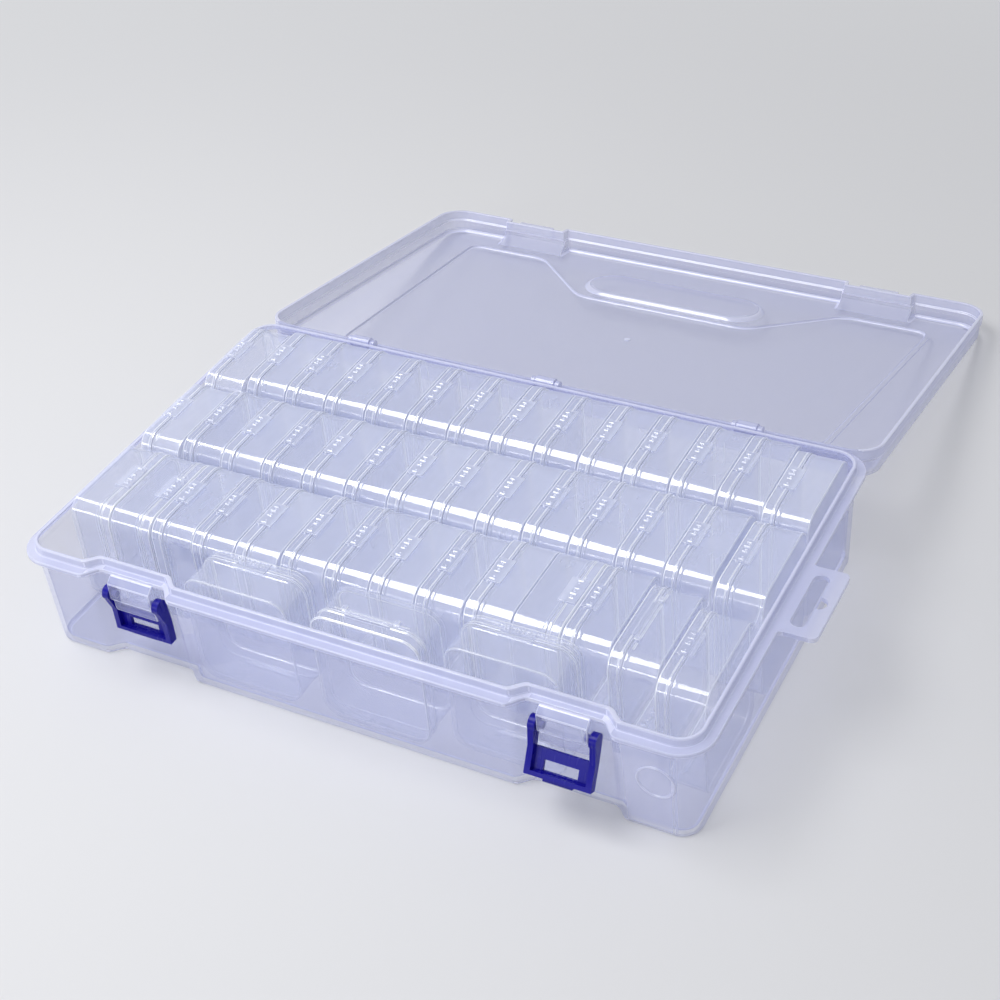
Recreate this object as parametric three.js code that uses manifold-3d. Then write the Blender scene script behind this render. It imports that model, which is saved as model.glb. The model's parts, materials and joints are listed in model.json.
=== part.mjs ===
// Storage case for diamond painting: a shallow see-through tray with a hinged lid, two
// swinging latches, a hang tab, and 45 small flip-top boxes that stand in it on edge.
//
// Millimetres, +Z up. X runs along the case and -Y is the latch side. The origin is the
// centre of the tray's underside. The lid lies thrown back, with its far edge on the table.

import * as THREE from 'three';
import { mergeVertices } from 'three/addons/utils/BufferGeometryUtils.js';
import Module from 'manifold-3d';

const wasm = await Module();
wasm.setup();

// Tray

const tray = {
  length: 302,
  depth: 187,
  flangeCorner: 14,
  flangeTop: 48.4,
  flangeThickness: 2,
  flangeReach: 4,
  upstandHeight: 3.5,
  wall: 1.6,
  floor: 1.8,
  draft: 1.3,
  footRounding: 3.2,
};

// Latch bays: the front wall, its flange and the lid's skirt step inward at each latch

const bay = {
  fromEnd: 55.3,
  halfWidth: 16.5,
  stepRun: 2.5,
  wallRecess: 5,
  flangeRecess: 6.4,
};

// Block on the bay wall that carries a latch

const lug = {
  halfWidth: 10.3,
  rootInset: 4.6,
  topReach: 3.4,
  ridgeReach: 6.4,
  skirtReach: 5,
  footReach: 3,
  topDrop: 1.6,
  shoulderDrop: 2.3,
  ridgeHeight: 6.6,
  skirtHeight: 6,
  footDrop: 0.6,
};

// Hang tab, level with the flange at the right end

const tab = {
  halfWidth: 20,
  reach: 14.6,
  corner: 3,
  slotHalfWidth: 15.5,
  slotDepth: 6.5,
  slotFromFlange: 2,
  notchRadius: 3.4,
  notchReach: 8.6,
};

// Moulded ring on the front wall

const mark = { fromEnd: 20, height: 27, radius: 7.8, line: 1, proud: 0.5 };

// Lid, with its sizes taken in the shut position

const lid = {
  rimGap: 0.3,
  edgeInset: 0.5,
  wall: 1.6,
  skirt: 13,
  bandHeight: 5,
  bandProud: 0.8,
  topRounding: 2,
  notchHalfWidth: 15.5,
  notchRun: 1.2,
  notchReach: 0.1,
  notchHeight: 7.9,
  notchTopLean: 6.9,
  notchTopRise: 5,
};

const catchBlock = { halfWidth: 10, height: 7.6, proud: 2.1, topLean: 0.5 };

const panel = {
  rise: 1.2,
  corner: 7,
  nearMargin: 20,
  farMargin: 17,
  sideMargin: 22,
  sideSplay: 6,
  bayOuterHalf: 82,
  bayInnerHalf: 44,
  bayDepth: 39,
};

const grip = { halfLength: 48, halfWidth: 14, centreFromPanel: 22.5, depth: 1.8, slope: 5 };

const gate = { fromMiddle: 4, radius: 1.6, height: 0.5 };

// Hinges: a fixed pin in each of three flange notches, held by a ring on the lid

const hinge = {
  places: 3,
  fromEnd: 56,
  axisOut: 0.6,
  axisUp: 0.2,
  pinRadius: 1.25,
  earRadius: 2.2,
  earThickness: 2,
  boreRadius: 1.55,
  ringRadius: 2.9,
  ringHalfWidth: 4.4,
  sideGap: 0.5,
  earRoom: 0.8,
  notchRoom: 0.8,
};

// Latch, with its sizes taken from its pivot: along it, and square to its plate

const latch = {
  pivotOut: 4,
  pivotDrop: 10.1,
  restTilts: [0, 28],
  earRadius: 3.2,
  bossRadius: 1.4,
  bossRoom: 0.3,
  bossLength: 2.5,
  earGap: 0.5,
  sideGap: 0.9,
  halfWidth: 13.6,
  plateStart: 9.4,
  plateSeat: 2.4,
  plateThickness: 1.6,
  length: 20.2,
  hookSeat: 0.3,
  hookThickness: 1.8,
  fingerHalfWidth: 6,
  fingerReach: 1.2,
  windowHalfWidth: 7,
  windowStart: 13.5,
  windowEnd: 18,
};

// Small box, with its sizes taken lying on its back

const box = {
  width: 48.8,
  height: 53.2,
  thickness: 20,
  corner: 8,
  wall: 1.1,
  lidDepth: 5.6,
  lidWall: 1,
  lidOverlap: 0.4,
  partingGap: 0.3,
  claspWidth: 14,
  claspProud: 0.7,
  claspReach: 2.2,
  claspSetback: 0.8,
  ribCount: 4,
  ribWidth: 1.2,
  ribProud: 0.5,
  hingeProud: 1.1,
  tongueHalfWidth: 10,
  tongueReach: 1.4,
  tongueRoot: 1.6,
  pinRadius: 0.4,
  pinLength: 2,
  pinRoom: 0.3,
  pinSetback: 0.5,
  earThickness: 2.2,
  earReach: 2.6,
};

// How the boxes stand in the tray: rows from the back wall forward, and a few boxes crosswise
// before them, each `before` its neighbour on the left

const packing = {
  gap: 0.35,
  floorGap: 0.3,
  endGap: 1,
  backGap: 0.3,
  frontGap: 1,
  bayGap: 0.5,
};

const crosswise = [
  { name: 'cross_box_1', before: 72.6, turnedOver: false },
  { name: 'cross_box_2', before: 9.8, turnedOver: true },
  { name: 'cross_box_3', before: 6.7, turnedOver: false },
];

// Rows in the order in which they are set, from the front one to the back one. Forward shares
// say how much of the room before it each box has slid, from the left end, and end shares how
// much of the row's spare length lies before each of its last boxes.
const rows = [
  {
    name: 'front',
    endShares: [0.4, 1],
    forwardShares: [0.01, 0.19, 0.16, 0.85, 0.8, 0.3, 0.3, 0.3, 0.3, 0, 0, 0, 0.21, 0.32],
    lidOnRight: [0, 1, 10],
    turnedOver: [12],
  },
  {
    name: 'middle',
    endShares: [1],
    forwardShares: [0.02, 0.29, 0.47, 0.41, 0.38, 0.67, 0.67, 0.67, 0.67, 0, 0, 0, 0.21, 0.01],
    lidOnRight: [],
    turnedOver: [],
  },
  {
    name: 'back',
    endShares: [],
    forwardShares: [0],
    lidOnRight: [],
    turnedOver: [],
  },
];

// These row boxes show from the front, so their lid is a piece of its own

const openable = ['front_box_12', 'front_box_13', 'front_box_14'];

const overrun = 2;
const cornerSteps = 3;
const bayStepPoints = 4;
const shutCornerSteps = 2;
const looseCornerSteps = 3;
const roundSides = 12;
const ringSides = 20;
const pinSides = 6;

const clearPlastic = { color: 0xc3c6ea, roughness: 0.28, metalness: 0, opacity: 0.45, transparent: true };
const bluePlastic = { color: 0x1c1f96, roughness: 0.32, metalness: 0 };

// Derived places of the tray, the hinge axis and the latches

const half = (size) => size / 2;
const turn = Math.PI;
const quarter = turn / 2;

const bayCentre = half(tray.length) - bay.fromEnd;
const wallHalfLength = half(tray.length) - tray.flangeReach;
const wallHalfDepth = half(tray.depth) - tray.flangeReach;
const wallCorner = tray.flangeCorner - tray.flangeReach;
const flangeBottom = tray.flangeTop - tray.flangeThickness;
const upstandTop = tray.flangeTop + tray.upstandHeight;
const bayWallY = -wallHalfDepth + bay.wallRecess;
const draftAt = (z) => (tray.draft * (flangeBottom - z)) / flangeBottom;

const rimZ = tray.flangeTop + lid.rimGap;
const lidTop = rimZ + lid.skirt;
const lidHalfLength = half(tray.length) - lid.edgeInset;
const lidHalfDepth = half(tray.depth) - lid.edgeInset;
const hingeY = half(tray.depth) + hinge.axisOut;
const hingeZ = tray.flangeTop + hinge.axisUp;
const notchY = bayWallY - latch.pivotOut + lid.notchReach;
const latchZ = tray.flangeTop - latch.pivotDrop;
const latchY = bayWallY - latch.pivotOut;

// Solids

function toSolid(geometry) {
  const bare = geometry.clone();
  bare.deleteAttribute('normal');
  bare.deleteAttribute('uv');
  const merged = mergeVertices(bare);
  return new wasm.Manifold(new wasm.Mesh({
    numProp: 3,
    vertProperties: new Float32Array(merged.attributes.position.array),
    triVerts: new Uint32Array(merged.index.array),
  }));
}

function toGeometry(solid) {
  const { vertProperties, triVerts } = solid.getMesh();
  const geometry = new THREE.BufferGeometry();
  geometry.setAttribute('position', new THREE.BufferAttribute(vertProperties, 3));
  geometry.setIndex(new THREE.BufferAttribute(triVerts, 1));
  return geometry;
}

const join = (solids) => solids.reduce((all, solid) => all.add(solid));

// Surface through rings of equal point counts, each anticlockwise seen from +Z. It is closed
// by the first ring, which faces down, and by the last, which faces up.
function loft(rings) {
  const count = rings[0].length;
  const positions = rings.flatMap((ring) => ring.flatMap((point) => point.toArray()));
  const index = [];
  for (let level = 0; level + 1 < rings.length; level += 1) {
    for (let i = 0; i < count; i += 1) {
      const a = level * count + i;
      const b = level * count + ((i + 1) % count);
      index.push(a, b, b + count, a, b + count, a + count);
    }
  }
  const flat = (ring) => ring.map((point) => new THREE.Vector2(point.x, point.y));
  const lastStart = (rings.length - 1) * count;
  for (const [a, b, c] of THREE.ShapeUtils.triangulateShape(flat(rings[0]), [])) {
    index.push(c, b, a);
  }
  for (const [a, b, c] of THREE.ShapeUtils.triangulateShape(flat(rings.at(-1)), [])) {
    index.push(lastStart + a, lastStart + b, lastStart + c);
  }
  const geometry = new THREE.BufferGeometry();
  geometry.setAttribute('position', new THREE.Float32BufferAttribute(positions, 3));
  geometry.setIndex(index);
  return geometry;
}

const atHeight = (outline, z) => outline.map(([x, y]) => new THREE.Vector3(x, y, z));
const prism = (outline, low, high) => toSolid(loft([atHeight(outline, low), atHeight(outline, high)]));

function block([x0, x1], [y0, y1], [z0, z1]) {
  const geometry = new THREE.BoxGeometry(x1 - x0, y1 - y0, z1 - z0);
  geometry.translate(half(x0 + x1), half(y0 + y1), half(z0 + z1));
  return toSolid(geometry);
}

// Round bar along X, with a corner of its section at the top
function barAlongX(radius, x0, x1, y, z, sides = roundSides) {
  const geometry = new THREE.CylinderGeometry(radius, radius, x1 - x0, sides);
  geometry.rotateZ(quarter);
  geometry.translate(half(x0 + x1), y, z);
  return toSolid(geometry);
}

// Prism along X over a profile of [y, z] points
function profileAlongX(profile, x0, x1) {
  const geometry = new THREE.ExtrudeGeometry(
    new THREE.Shape(profile.map(([y, z]) => new THREE.Vector2(y, z))),
    { depth: x1 - x0, bevelEnabled: false },
  );
  geometry.applyMatrix4(new THREE.Matrix4().makeBasis(
    new THREE.Vector3(0, 1, 0),
    new THREE.Vector3(0, 0, 1),
    new THREE.Vector3(1, 0, 0),
  ));
  geometry.translate(x0, 0, 0);
  return toSolid(geometry);
}

// Outlines

const arc = (cx, cy, radius, from, sweep, steps) => Array.from({ length: steps + 1 }, (_, i) => {
  const angle = from + (sweep * i) / steps;
  return [cx + radius * Math.cos(angle), cy + radius * Math.sin(angle)];
});

function roundedRectangle(width, height, corner, steps) {
  const x = half(width) - corner;
  const y = half(height) - corner;
  return [
    ...arc(-x, -y, corner, turn, quarter, steps),
    ...arc(x, -y, corner, -quarter, quarter, steps),
    ...arc(x, y, corner, 0, quarter, steps),
    ...arc(-x, y, corner, quarter, quarter, steps),
  ];
}

function stadium(halfLength, halfWidth, steps) {
  const x = halfLength - halfWidth;
  return [
    ...arc(x, 0, halfWidth, -quarter, turn, steps),
    ...arc(-x, 0, halfWidth, quarter, turn, steps),
  ];
}

// Any polygon with each corner rounded. The radius is cut back where a side is short.
function roundCorners(points, radius, steps) {
  return points.flatMap(([x, y], i) => {
    const corner = new THREE.Vector2(x, y);
    const before = new THREE.Vector2(...points.at(i - 1)).sub(corner);
    const after = new THREE.Vector2(...points[(i + 1) % points.length]).sub(corner);
    const reach = Math.min(radius, half(before.length()), half(after.length()));
    const start = corner.clone().addScaledVector(before.normalize(), reach);
    const end = corner.clone().addScaledVector(after.normalize(), reach);
    const curve = new THREE.QuadraticBezierCurve(start, corner, end);
    return curve.getPoints(steps).map((point) => [point.x, point.y]);
  });
}

// Rounded rectangle whose front side steps inward by `dip` at each latch bay, with an S-curve
// `run` long at each end of the bay
function caseOutline({ halfLength, halfDepth, corner, bayHalf, run, dip }) {
  const x = halfLength - corner;
  const y = halfDepth - corner;
  const smooth = (t) => dip * half(1 - Math.cos(turn * t));
  const steps = Array.from({ length: bayStepPoints + 1 }, (_, i) => i / bayStepPoints);
  const bays = [-bayCentre, bayCentre].flatMap((centre) => [
    ...steps.map((t) => [centre - bayHalf - run * (1 - t), -halfDepth + smooth(t)]),
    ...steps.map((t) => [centre + bayHalf + run * t, -halfDepth + smooth(1 - t)]),
  ]);
  return [
    ...arc(-x, -y, corner, turn, quarter, cornerSteps),
    ...bays,
    ...arc(x, -y, corner, -quarter, quarter, cornerSteps),
    ...arc(x, y, corner, 0, quarter, cornerSteps),
    ...arc(-x, y, corner, quarter, quarter, cornerSteps),
  ];
}

// Tray: one skin that runs up outside, round the flange, over the upstand and down inside

function trayRing(inset, z, dip = bay.wallRecess) {
  return atHeight(caseOutline({
    halfLength: wallHalfLength - inset,
    halfDepth: wallHalfDepth - inset,
    corner: wallCorner - inset,
    bayHalf: bay.halfWidth + Math.max(inset, 0),
    run: bay.stepRun,
    dip,
  }), z);
}

// Quarter round between a wall and a floor, from the floor up
function footRings(radius, floorZ, wallInset) {
  return [0, 1, 2, 3].map((i) => {
    const angle = (quarter * i) / 3;
    return trayRing(wallInset + radius * (1 - Math.sin(angle)), floorZ + radius * (1 - Math.cos(angle)));
  });
}

function trayShell() {
  const innerRounding = tray.footRounding - tray.wall;
  return toSolid(loft([
    ...footRings(tray.footRounding, 0, tray.draft),
    trayRing(0, flangeBottom),
    trayRing(-tray.flangeReach, flangeBottom, bay.flangeRecess),
    trayRing(-tray.flangeReach, tray.flangeTop, bay.flangeRecess),
    trayRing(0, tray.flangeTop),
    trayRing(0, upstandTop),
    trayRing(tray.wall, upstandTop),
    ...footRings(innerRounding, tray.floor, tray.wall + tray.draft).reverse(),
  ]));
}

// Profile of a lug, from the flange's underside down round the pivot
function lugSolid(centre) {
  const root = bayWallY + lug.rootInset - latch.pivotOut;
  const face = bayWallY - latch.pivotOut;
  const profile = [
    [root, flangeBottom + half(tray.flangeThickness)],
    [bayWallY - lug.topReach, flangeBottom + half(tray.flangeThickness)],
    [bayWallY - lug.ridgeReach, latchZ + lug.ridgeHeight],
    [bayWallY - lug.ridgeReach, latchZ - lug.topDrop],
    [bayWallY - lug.skirtReach, latchZ - lug.shoulderDrop],
    [face - half(latch.bossRadius), latchZ - lug.shoulderDrop - lug.skirtHeight],
    [bayWallY - lug.footReach, latchZ - lug.shoulderDrop - lug.skirtHeight - lug.footDrop],
    [root, latchZ - lug.ridgeHeight + lug.topDrop],
  ];
  return profileAlongX(profile, centre - lug.halfWidth, centre + lug.halfWidth);
}

function lugBores(centre) {
  const radius = latch.bossRadius + latch.bossRoom;
  const end = lug.halfWidth + latch.earGap - latch.bossLength - latch.bossRoom;
  return [
    barAlongX(radius, centre - lug.halfWidth - overrun, centre - end, latchY, latchZ),
    barAlongX(radius, centre + end, centre + lug.halfWidth + overrun, latchY, latchZ),
  ];
}

function tabSolid() {
  const edge = half(tray.length);
  const root = edge - half(tray.flangeReach);
  const plate = prism(roundCorners([
    [root, -tab.halfWidth - tab.corner],
    [edge, -tab.halfWidth],
    [edge + tab.reach, -tab.halfWidth],
    [edge + tab.reach, tab.halfWidth],
    [edge, tab.halfWidth],
    [root, tab.halfWidth + tab.corner],
  ], tab.corner, cornerSteps), flangeBottom, tray.flangeTop);
  const slotX = edge + tab.slotFromFlange + half(tab.slotDepth);
  const slot = stadium(tab.slotHalfWidth, half(tab.slotDepth), cornerSteps)
    .map(([x, y]) => [slotX - y, x]);
  const notch = arc(edge + tab.notchReach, 0, tab.notchRadius, -turn, turn * 2, roundSides).slice(0, -1);
  const low = flangeBottom - overrun;
  const high = tray.flangeTop + overrun;
  return { plate, cuts: [prism(slot, low, high), prism(notch, low, high)] };
}

function markSolid() {
  const ring = new THREE.Shape().absarc(0, 0, mark.radius, 0, turn * 2);
  ring.holes.push(new THREE.Path().absarc(0, 0, mark.radius - mark.line, 0, turn * 2, true));
  const depth = mark.proud + half(tray.wall);
  const geometry = new THREE.ExtrudeGeometry(ring, {
    depth,
    bevelEnabled: false,
    curveSegments: ringSides,
  });
  geometry.rotateX(quarter);
  geometry.translate(
    half(tray.length) - mark.fromEnd,
    -wallHalfDepth + draftAt(mark.height) + half(tray.wall),
    mark.height,
  );
  return toSolid(geometry);
}

const hingePlaces = Array.from(
  { length: hinge.places },
  (_, i) => (half(tray.length) - hinge.fromEnd) * (i / half(hinge.places - 1) - 1),
);

function trayHinge(x) {
  const earStart = hinge.ringHalfWidth + hinge.sideGap;
  const earEnd = earStart + hinge.earThickness;
  return {
    notch: block(
      [x - earStart, x + earStart],
      [hingeY - hinge.ringRadius - hinge.notchRoom, hingeY + overrun],
      [flangeBottom - overrun, tray.flangeTop + overrun],
    ),
    parts: [
      barAlongX(hinge.earRadius, x - earEnd, x - earStart, hingeY, hingeZ),
      barAlongX(hinge.earRadius, x + earStart, x + earEnd, hingeY, hingeZ),
      barAlongX(hinge.pinRadius, x - half(earStart + earEnd), x + half(earStart + earEnd), hingeY, hingeZ),
    ],
  };
}

function buildTray() {
  const hangTab = tabSolid();
  const hinges = hingePlaces.map(trayHinge);
  let solid = join([trayShell(), hangTab.plate, markSolid()]);
  for (const side of [-1, 1]) {
    solid = solid.add(lugSolid(side * bayCentre));
    for (const bore of lugBores(side * bayCentre)) {
      solid = solid.subtract(bore);
    }
  }
  for (const cut of [...hangTab.cuts, ...hinges.map(({ notch }) => notch)]) {
    solid = solid.subtract(cut);
  }
  return join([solid, ...hinges.flatMap(({ parts }) => parts)]);
}

// Lid, shut, in the tray's own place

// Ring of the lid's skin. `notch` is the Y of the bay wall at this height.
function lidRing(inset, z, notch) {
  return atHeight(caseOutline({
    halfLength: lidHalfLength - inset,
    halfDepth: lidHalfDepth - inset,
    corner: tray.flangeCorner - lid.edgeInset - inset,
    bayHalf: lid.notchHalfWidth + inset,
    run: lid.notchRun,
    dip: notch + lidHalfDepth - inset,
  }), z);
}

function lidShell() {
  const bandTop = rimZ + lid.bandHeight;
  const kinkZ = rimZ + lid.notchHeight;
  const lean = Math.atan2(lid.notchTopLean, lid.notchTopRise);
  const leanAt = (z) => notchY + Math.max(z - kinkZ, 0) * Math.tan(lean);
  const innerKinkZ = kinkZ - lid.wall * Math.tan(half(lean));
  const innerTop = lidTop - lid.wall;
  const innerLeanAt = (z) => notchY + lid.wall + Math.max(z - innerKinkZ, 0) * Math.tan(lean);
  const innerRounding = lid.topRounding - half(lid.wall);
  const shelf = half(lid.bandProud);
  const skin = lid.bandProud + lid.wall;
  return toSolid(loft([
    lidRing(skin + innerRounding, innerTop, innerLeanAt(innerTop)),
    lidRing(skin, innerTop - innerRounding, innerLeanAt(innerTop - innerRounding)),
    lidRing(skin, innerKinkZ, notchY + lid.wall),
    lidRing(skin, bandTop, notchY + lid.wall),
    lidRing(lid.wall, bandTop - shelf, notchY + lid.wall),
    lidRing(lid.wall, rimZ, notchY + lid.wall),
    lidRing(0, rimZ, notchY),
    lidRing(0, bandTop, notchY),
    lidRing(lid.bandProud, bandTop + shelf, notchY),
    lidRing(lid.bandProud, kinkZ, notchY),
    lidRing(lid.bandProud, lidTop - lid.topRounding, leanAt(lidTop - lid.topRounding)),
    lidRing(lid.bandProud + lid.topRounding, lidTop, leanAt(lidTop)),
  ]));
}

// Outline of the raised panel, moved inward by `inset`. It steps round the grip at the front.
function panelOutline(inset) {
  const far = -lidHalfDepth + panel.farMargin + inset;
  const near = lidHalfDepth - panel.nearMargin - inset;
  const side = lidHalfLength - panel.sideMargin - inset;
  const bayBottom = far + panel.bayDepth;
  return roundCorners([
    [-side, far],
    [-panel.bayOuterHalf - inset, far],
    [-panel.bayInnerHalf - inset, bayBottom],
    [panel.bayInnerHalf + inset, bayBottom],
    [panel.bayOuterHalf + inset, far],
    [side, far],
    [side - panel.sideSplay, near],
    [-side + panel.sideSplay, near],
  ], panel.corner, cornerSteps);
}

// Finger grip: a long dish pressed into the top, with sloped sides
function gripDish(grow, floorZ, mouthZ) {
  const y = -lidHalfDepth + panel.farMargin + grip.centreFromPanel;
  const steps = cornerSteps;
  const place = (outline) => outline.map(([px, py]) => [px, py + y]);
  const floorOutline = stadium(grip.halfLength - grip.slope + grow, grip.halfWidth - half(grip.slope) + grow, steps);
  const mouthOutline = stadium(grip.halfLength + grow, grip.halfWidth + grow, steps);
  return toSolid(loft([atHeight(place(floorOutline), floorZ), atHeight(place(mouthOutline), mouthZ)]));
}

function lidHinge(x) {
  const bore = hinge.ringHalfWidth + hinge.sideGap;
  const earStart = hinge.ringHalfWidth + half(hinge.sideGap);
  const earEnd = bore + hinge.earThickness + half(hinge.sideGap);
  const roomRadius = hinge.earRadius + hinge.earRoom;
  return {
    ring: barAlongX(hinge.ringRadius, x - hinge.ringHalfWidth, x + hinge.ringHalfWidth, hingeY, hingeZ),
    cuts: [
      barAlongX(hinge.boreRadius, x - bore, x + bore, hingeY, hingeZ),
      barAlongX(roomRadius, x - earEnd, x - earStart, hingeY, hingeZ),
      barAlongX(roomRadius, x + earStart, x + earEnd, hingeY, hingeZ),
    ],
  };
}

function catchSolid(centre) {
  const embed = notchY + half(lid.wall);
  const top = rimZ + catchBlock.height;
  return profileAlongX([
    [embed, rimZ],
    [embed, top],
    [notchY - catchBlock.proud + catchBlock.topLean, top],
    [notchY - catchBlock.proud, top - catchBlock.topLean],
    [notchY - catchBlock.proud, rimZ],
  ], centre - catchBlock.halfWidth, centre + catchBlock.halfWidth);
}

function buildLid() {
  const innerTop = lidTop - lid.wall;
  const pad = prism(panelOutline(0), lidTop - half(lid.wall), lidTop + panel.rise);
  const pocket = prism(panelOutline(lid.wall), innerTop - overrun, innerTop + panel.rise);
  const gripRoom = half(lid.wall);
  const gripFloor = lidTop - grip.depth;
  const dishSkin = gripDish(gripRoom, gripFloor - lid.wall, lidTop - half(lid.wall));
  const dish = gripDish(0, gripFloor, lidTop);
  const mouth = gripDish(grip.slope, lidTop, lidTop + overrun);
  const gatePip = new THREE.CylinderGeometry(gate.radius, gate.radius, gate.height + panel.rise, roundSides);
  gatePip.rotateX(quarter);
  gatePip.translate(0, gate.fromMiddle, innerTop + half(panel.rise - gate.height) + half(gate.height));
  const hinges = hingePlaces.map(lidHinge);
  let solid = lidShell().add(pad).subtract(pocket);
  solid = solid.add(dishSkin).subtract(dish).subtract(mouth);
  solid = join([solid, toSolid(gatePip), ...hinges.map(({ ring }) => ring)]);
  for (const side of [-1, 1]) {
    solid = solid.add(catchSolid(side * bayCentre));
  }
  for (const cut of hinges.flatMap(({ cuts }) => cuts)) {
    solid = solid.subtract(cut);
  }
  return solid;
}

// The lid drops past level until its far edge meets the table
function lidDroop() {
  const farEdges = [
    [hingeY + lidHalfDepth - lid.bandProud, lidTop - lid.topRounding - hingeZ],
    [hingeY + lidHalfDepth - lid.bandProud - lid.topRounding, lidTop - hingeZ],
  ];
  const angles = farEdges.map(([out, down]) => (
    Math.asin(hingeZ / Math.hypot(out, down)) - Math.atan2(down, out)
  ));
  return Math.min(...angles);
}

// Latch, hanging, with its pivot at the origin: length down -Z, plate on its +Y side

function buildLatch() {
  const sideStart = lug.halfWidth + latch.sideGap;
  const earStart = lug.halfWidth + latch.earGap;
  const plateBack = latch.plateSeat + latch.plateThickness;
  const cheek = [
    ...arc(0, 0, latch.earRadius, 0, turn, cornerSteps * 2),
    [latch.hookSeat, -latch.plateStart],
    [latch.hookSeat, -latch.length],
    [plateBack, -latch.length],
    [plateBack, -latch.plateStart],
  ];
  const full = [-latch.halfWidth, latch.halfWidth];
  const parts = [
    block(full, [latch.plateSeat, plateBack], [-latch.length, -latch.plateStart]),
    block(full, [latch.hookSeat, plateBack], [-latch.length, -latch.length + latch.hookThickness]),
    block(
      [-latch.fingerHalfWidth, latch.fingerHalfWidth],
      [half(latch.plateSeat), plateBack],
      [-latch.length - latch.fingerReach, -latch.length + half(latch.hookThickness)],
    ),
  ];
  for (const side of [-1, 1]) {
    const span = (near, far) => (side > 0 ? [near, far] : [-far, -near]);
    parts.push(profileAlongX(cheek, ...span(sideStart, latch.halfWidth)));
    parts.push(barAlongX(latch.earRadius, ...span(earStart, latch.halfWidth), 0, 0));
    parts.push(barAlongX(latch.bossRadius, ...span(earStart - latch.bossLength, latch.halfWidth), 0, 0));
  }
  const window = block(
    [-latch.windowHalfWidth, latch.windowHalfWidth],
    [latch.plateSeat - overrun, plateBack + overrun],
    [-latch.windowEnd, -latch.windowStart],
  );
  return join(parts).subtract(window);
}

// Small box, lying on its back: X across, Y towards the clasp, Z from container to lid

const containerDepth = box.thickness - box.lidDepth - box.partingGap;
const lidMouth = containerDepth + box.partingGap;
const boxTop = half(box.height);
const claspSpan = [-half(box.claspWidth), half(box.claspWidth)];

function openBox(width, height, corner, cornerSteps, wall, back, mouth) {
  const outer = roundedRectangle(width, height, corner, cornerSteps);
  const inner = roundedRectangle(width - wall * 2, height - wall * 2, corner - wall, 1);
  const inside = mouth > back ? [back + wall, mouth + overrun] : [mouth - overrun, back - wall];
  return prism(outer, Math.min(back, mouth), Math.max(back, mouth)).subtract(prism(inner, ...inside));
}

const containerShell = (steps) => openBox(
  box.width - box.lidOverlap * 2,
  box.height - box.lidOverlap * 2,
  box.corner - box.lidOverlap,
  steps,
  box.wall,
  0,
  containerDepth,
);

const boxLidShell = (steps) => openBox(
  box.width,
  box.height,
  box.corner,
  steps,
  box.lidWall,
  box.thickness,
  lidMouth,
);

// A shut box is one piece: its two halves meet only at the clasp and at the hinge
function shutBoxSolid() {
  const clasp = block(
    claspSpan,
    [boxTop - half(box.lidWall) - box.lidOverlap, boxTop + box.claspProud],
    [containerDepth - box.claspReach, box.thickness - box.claspSetback],
  );
  const hingeBar = block(
    [-box.tongueHalfWidth - box.earThickness, box.tongueHalfWidth + box.earThickness],
    [-boxTop - box.hingeProud, -boxTop + box.lidOverlap + half(box.lidWall)],
    [containerDepth - box.earReach, lidMouth + box.tongueRoot],
  );
  return join([containerShell(shutCornerSteps), boxLidShell(shutCornerSteps), clasp, hingeBar]);
}

// A box in two pieces. Its container has two open ears that hold the pins of the lid's tongue.
const hingeAxisY = -boxTop - half(box.hingeProud - box.pinRoom) + box.pinRoom;
const hingeAxisZ = containerDepth - box.pinSetback;
const earStartX = box.tongueHalfWidth + box.partingGap;

function looseContainerSolid() {
  const earSpans = [-1, 1].map((side) => [side * earStartX, side * (earStartX + box.earThickness)]);
  const ears = earSpans.map((span) => block(
    [Math.min(...span), Math.max(...span)],
    [-boxTop - box.hingeProud, -boxTop + box.lidOverlap + half(box.wall)],
    [containerDepth - box.earReach, containerDepth],
  ));
  const bores = earSpans.map((span) => barAlongX(
    box.pinRadius + box.pinRoom,
    Math.min(...span) - half(box.partingGap),
    Math.max(...span) + half(box.partingGap),
    hingeAxisY,
    hingeAxisZ,
    pinSides,
  ));
  return bores.reduce((solid, bore) => solid.subtract(bore), join([containerShell(looseCornerSteps), ...ears]));
}

function looseLidSolid() {
  const claspRoot = block(
    claspSpan,
    [boxTop - half(box.lidWall), boxTop + box.claspProud],
    [lidMouth, box.thickness - box.claspSetback],
  );
  const claspTongue = block(
    claspSpan,
    [boxTop - box.lidOverlap + box.partingGap, boxTop + box.claspProud],
    [containerDepth - box.claspReach, lidMouth + box.claspSetback],
  );
  const ribPitch = box.claspWidth / box.ribCount;
  const ribs = Array.from({ length: box.ribCount }, (_, i) => {
    const x = ribPitch * (i - half(box.ribCount - 1));
    return block(
      [x - half(box.ribWidth), x + half(box.ribWidth)],
      [boxTop, boxTop + box.claspProud + box.ribProud],
      [lidMouth, box.thickness - box.claspSetback * 2],
    );
  });
  const tongueSpan = [-box.tongueHalfWidth, box.tongueHalfWidth];
  const tongueRoot = block(
    tongueSpan,
    [-boxTop - box.hingeProud, -boxTop + half(box.lidWall)],
    [lidMouth, lidMouth + box.tongueRoot],
  );
  const tongue = block(
    tongueSpan,
    [-boxTop - box.hingeProud, -boxTop + box.lidOverlap - box.partingGap],
    [containerDepth - box.tongueReach, lidMouth + half(box.tongueRoot)],
  );
  const pinReach = box.tongueHalfWidth + box.pinLength;
  const pin = barAlongX(box.pinRadius, -pinReach, pinReach, hingeAxisY, hingeAxisZ, pinSides);
  return join([boxLidShell(looseCornerSteps), claspRoot, claspTongue, ...ribs, tongueRoot, tongue, pin]);
}

// Scene

const caseGroup = new THREE.Group();

function addMesh(parent, name, geometry, finish) {
  const mesh = new THREE.Mesh(geometry, new THREE.MeshStandardMaterial(finish));
  mesh.name = name;
  parent.add(mesh);
  return mesh;
}

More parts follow.
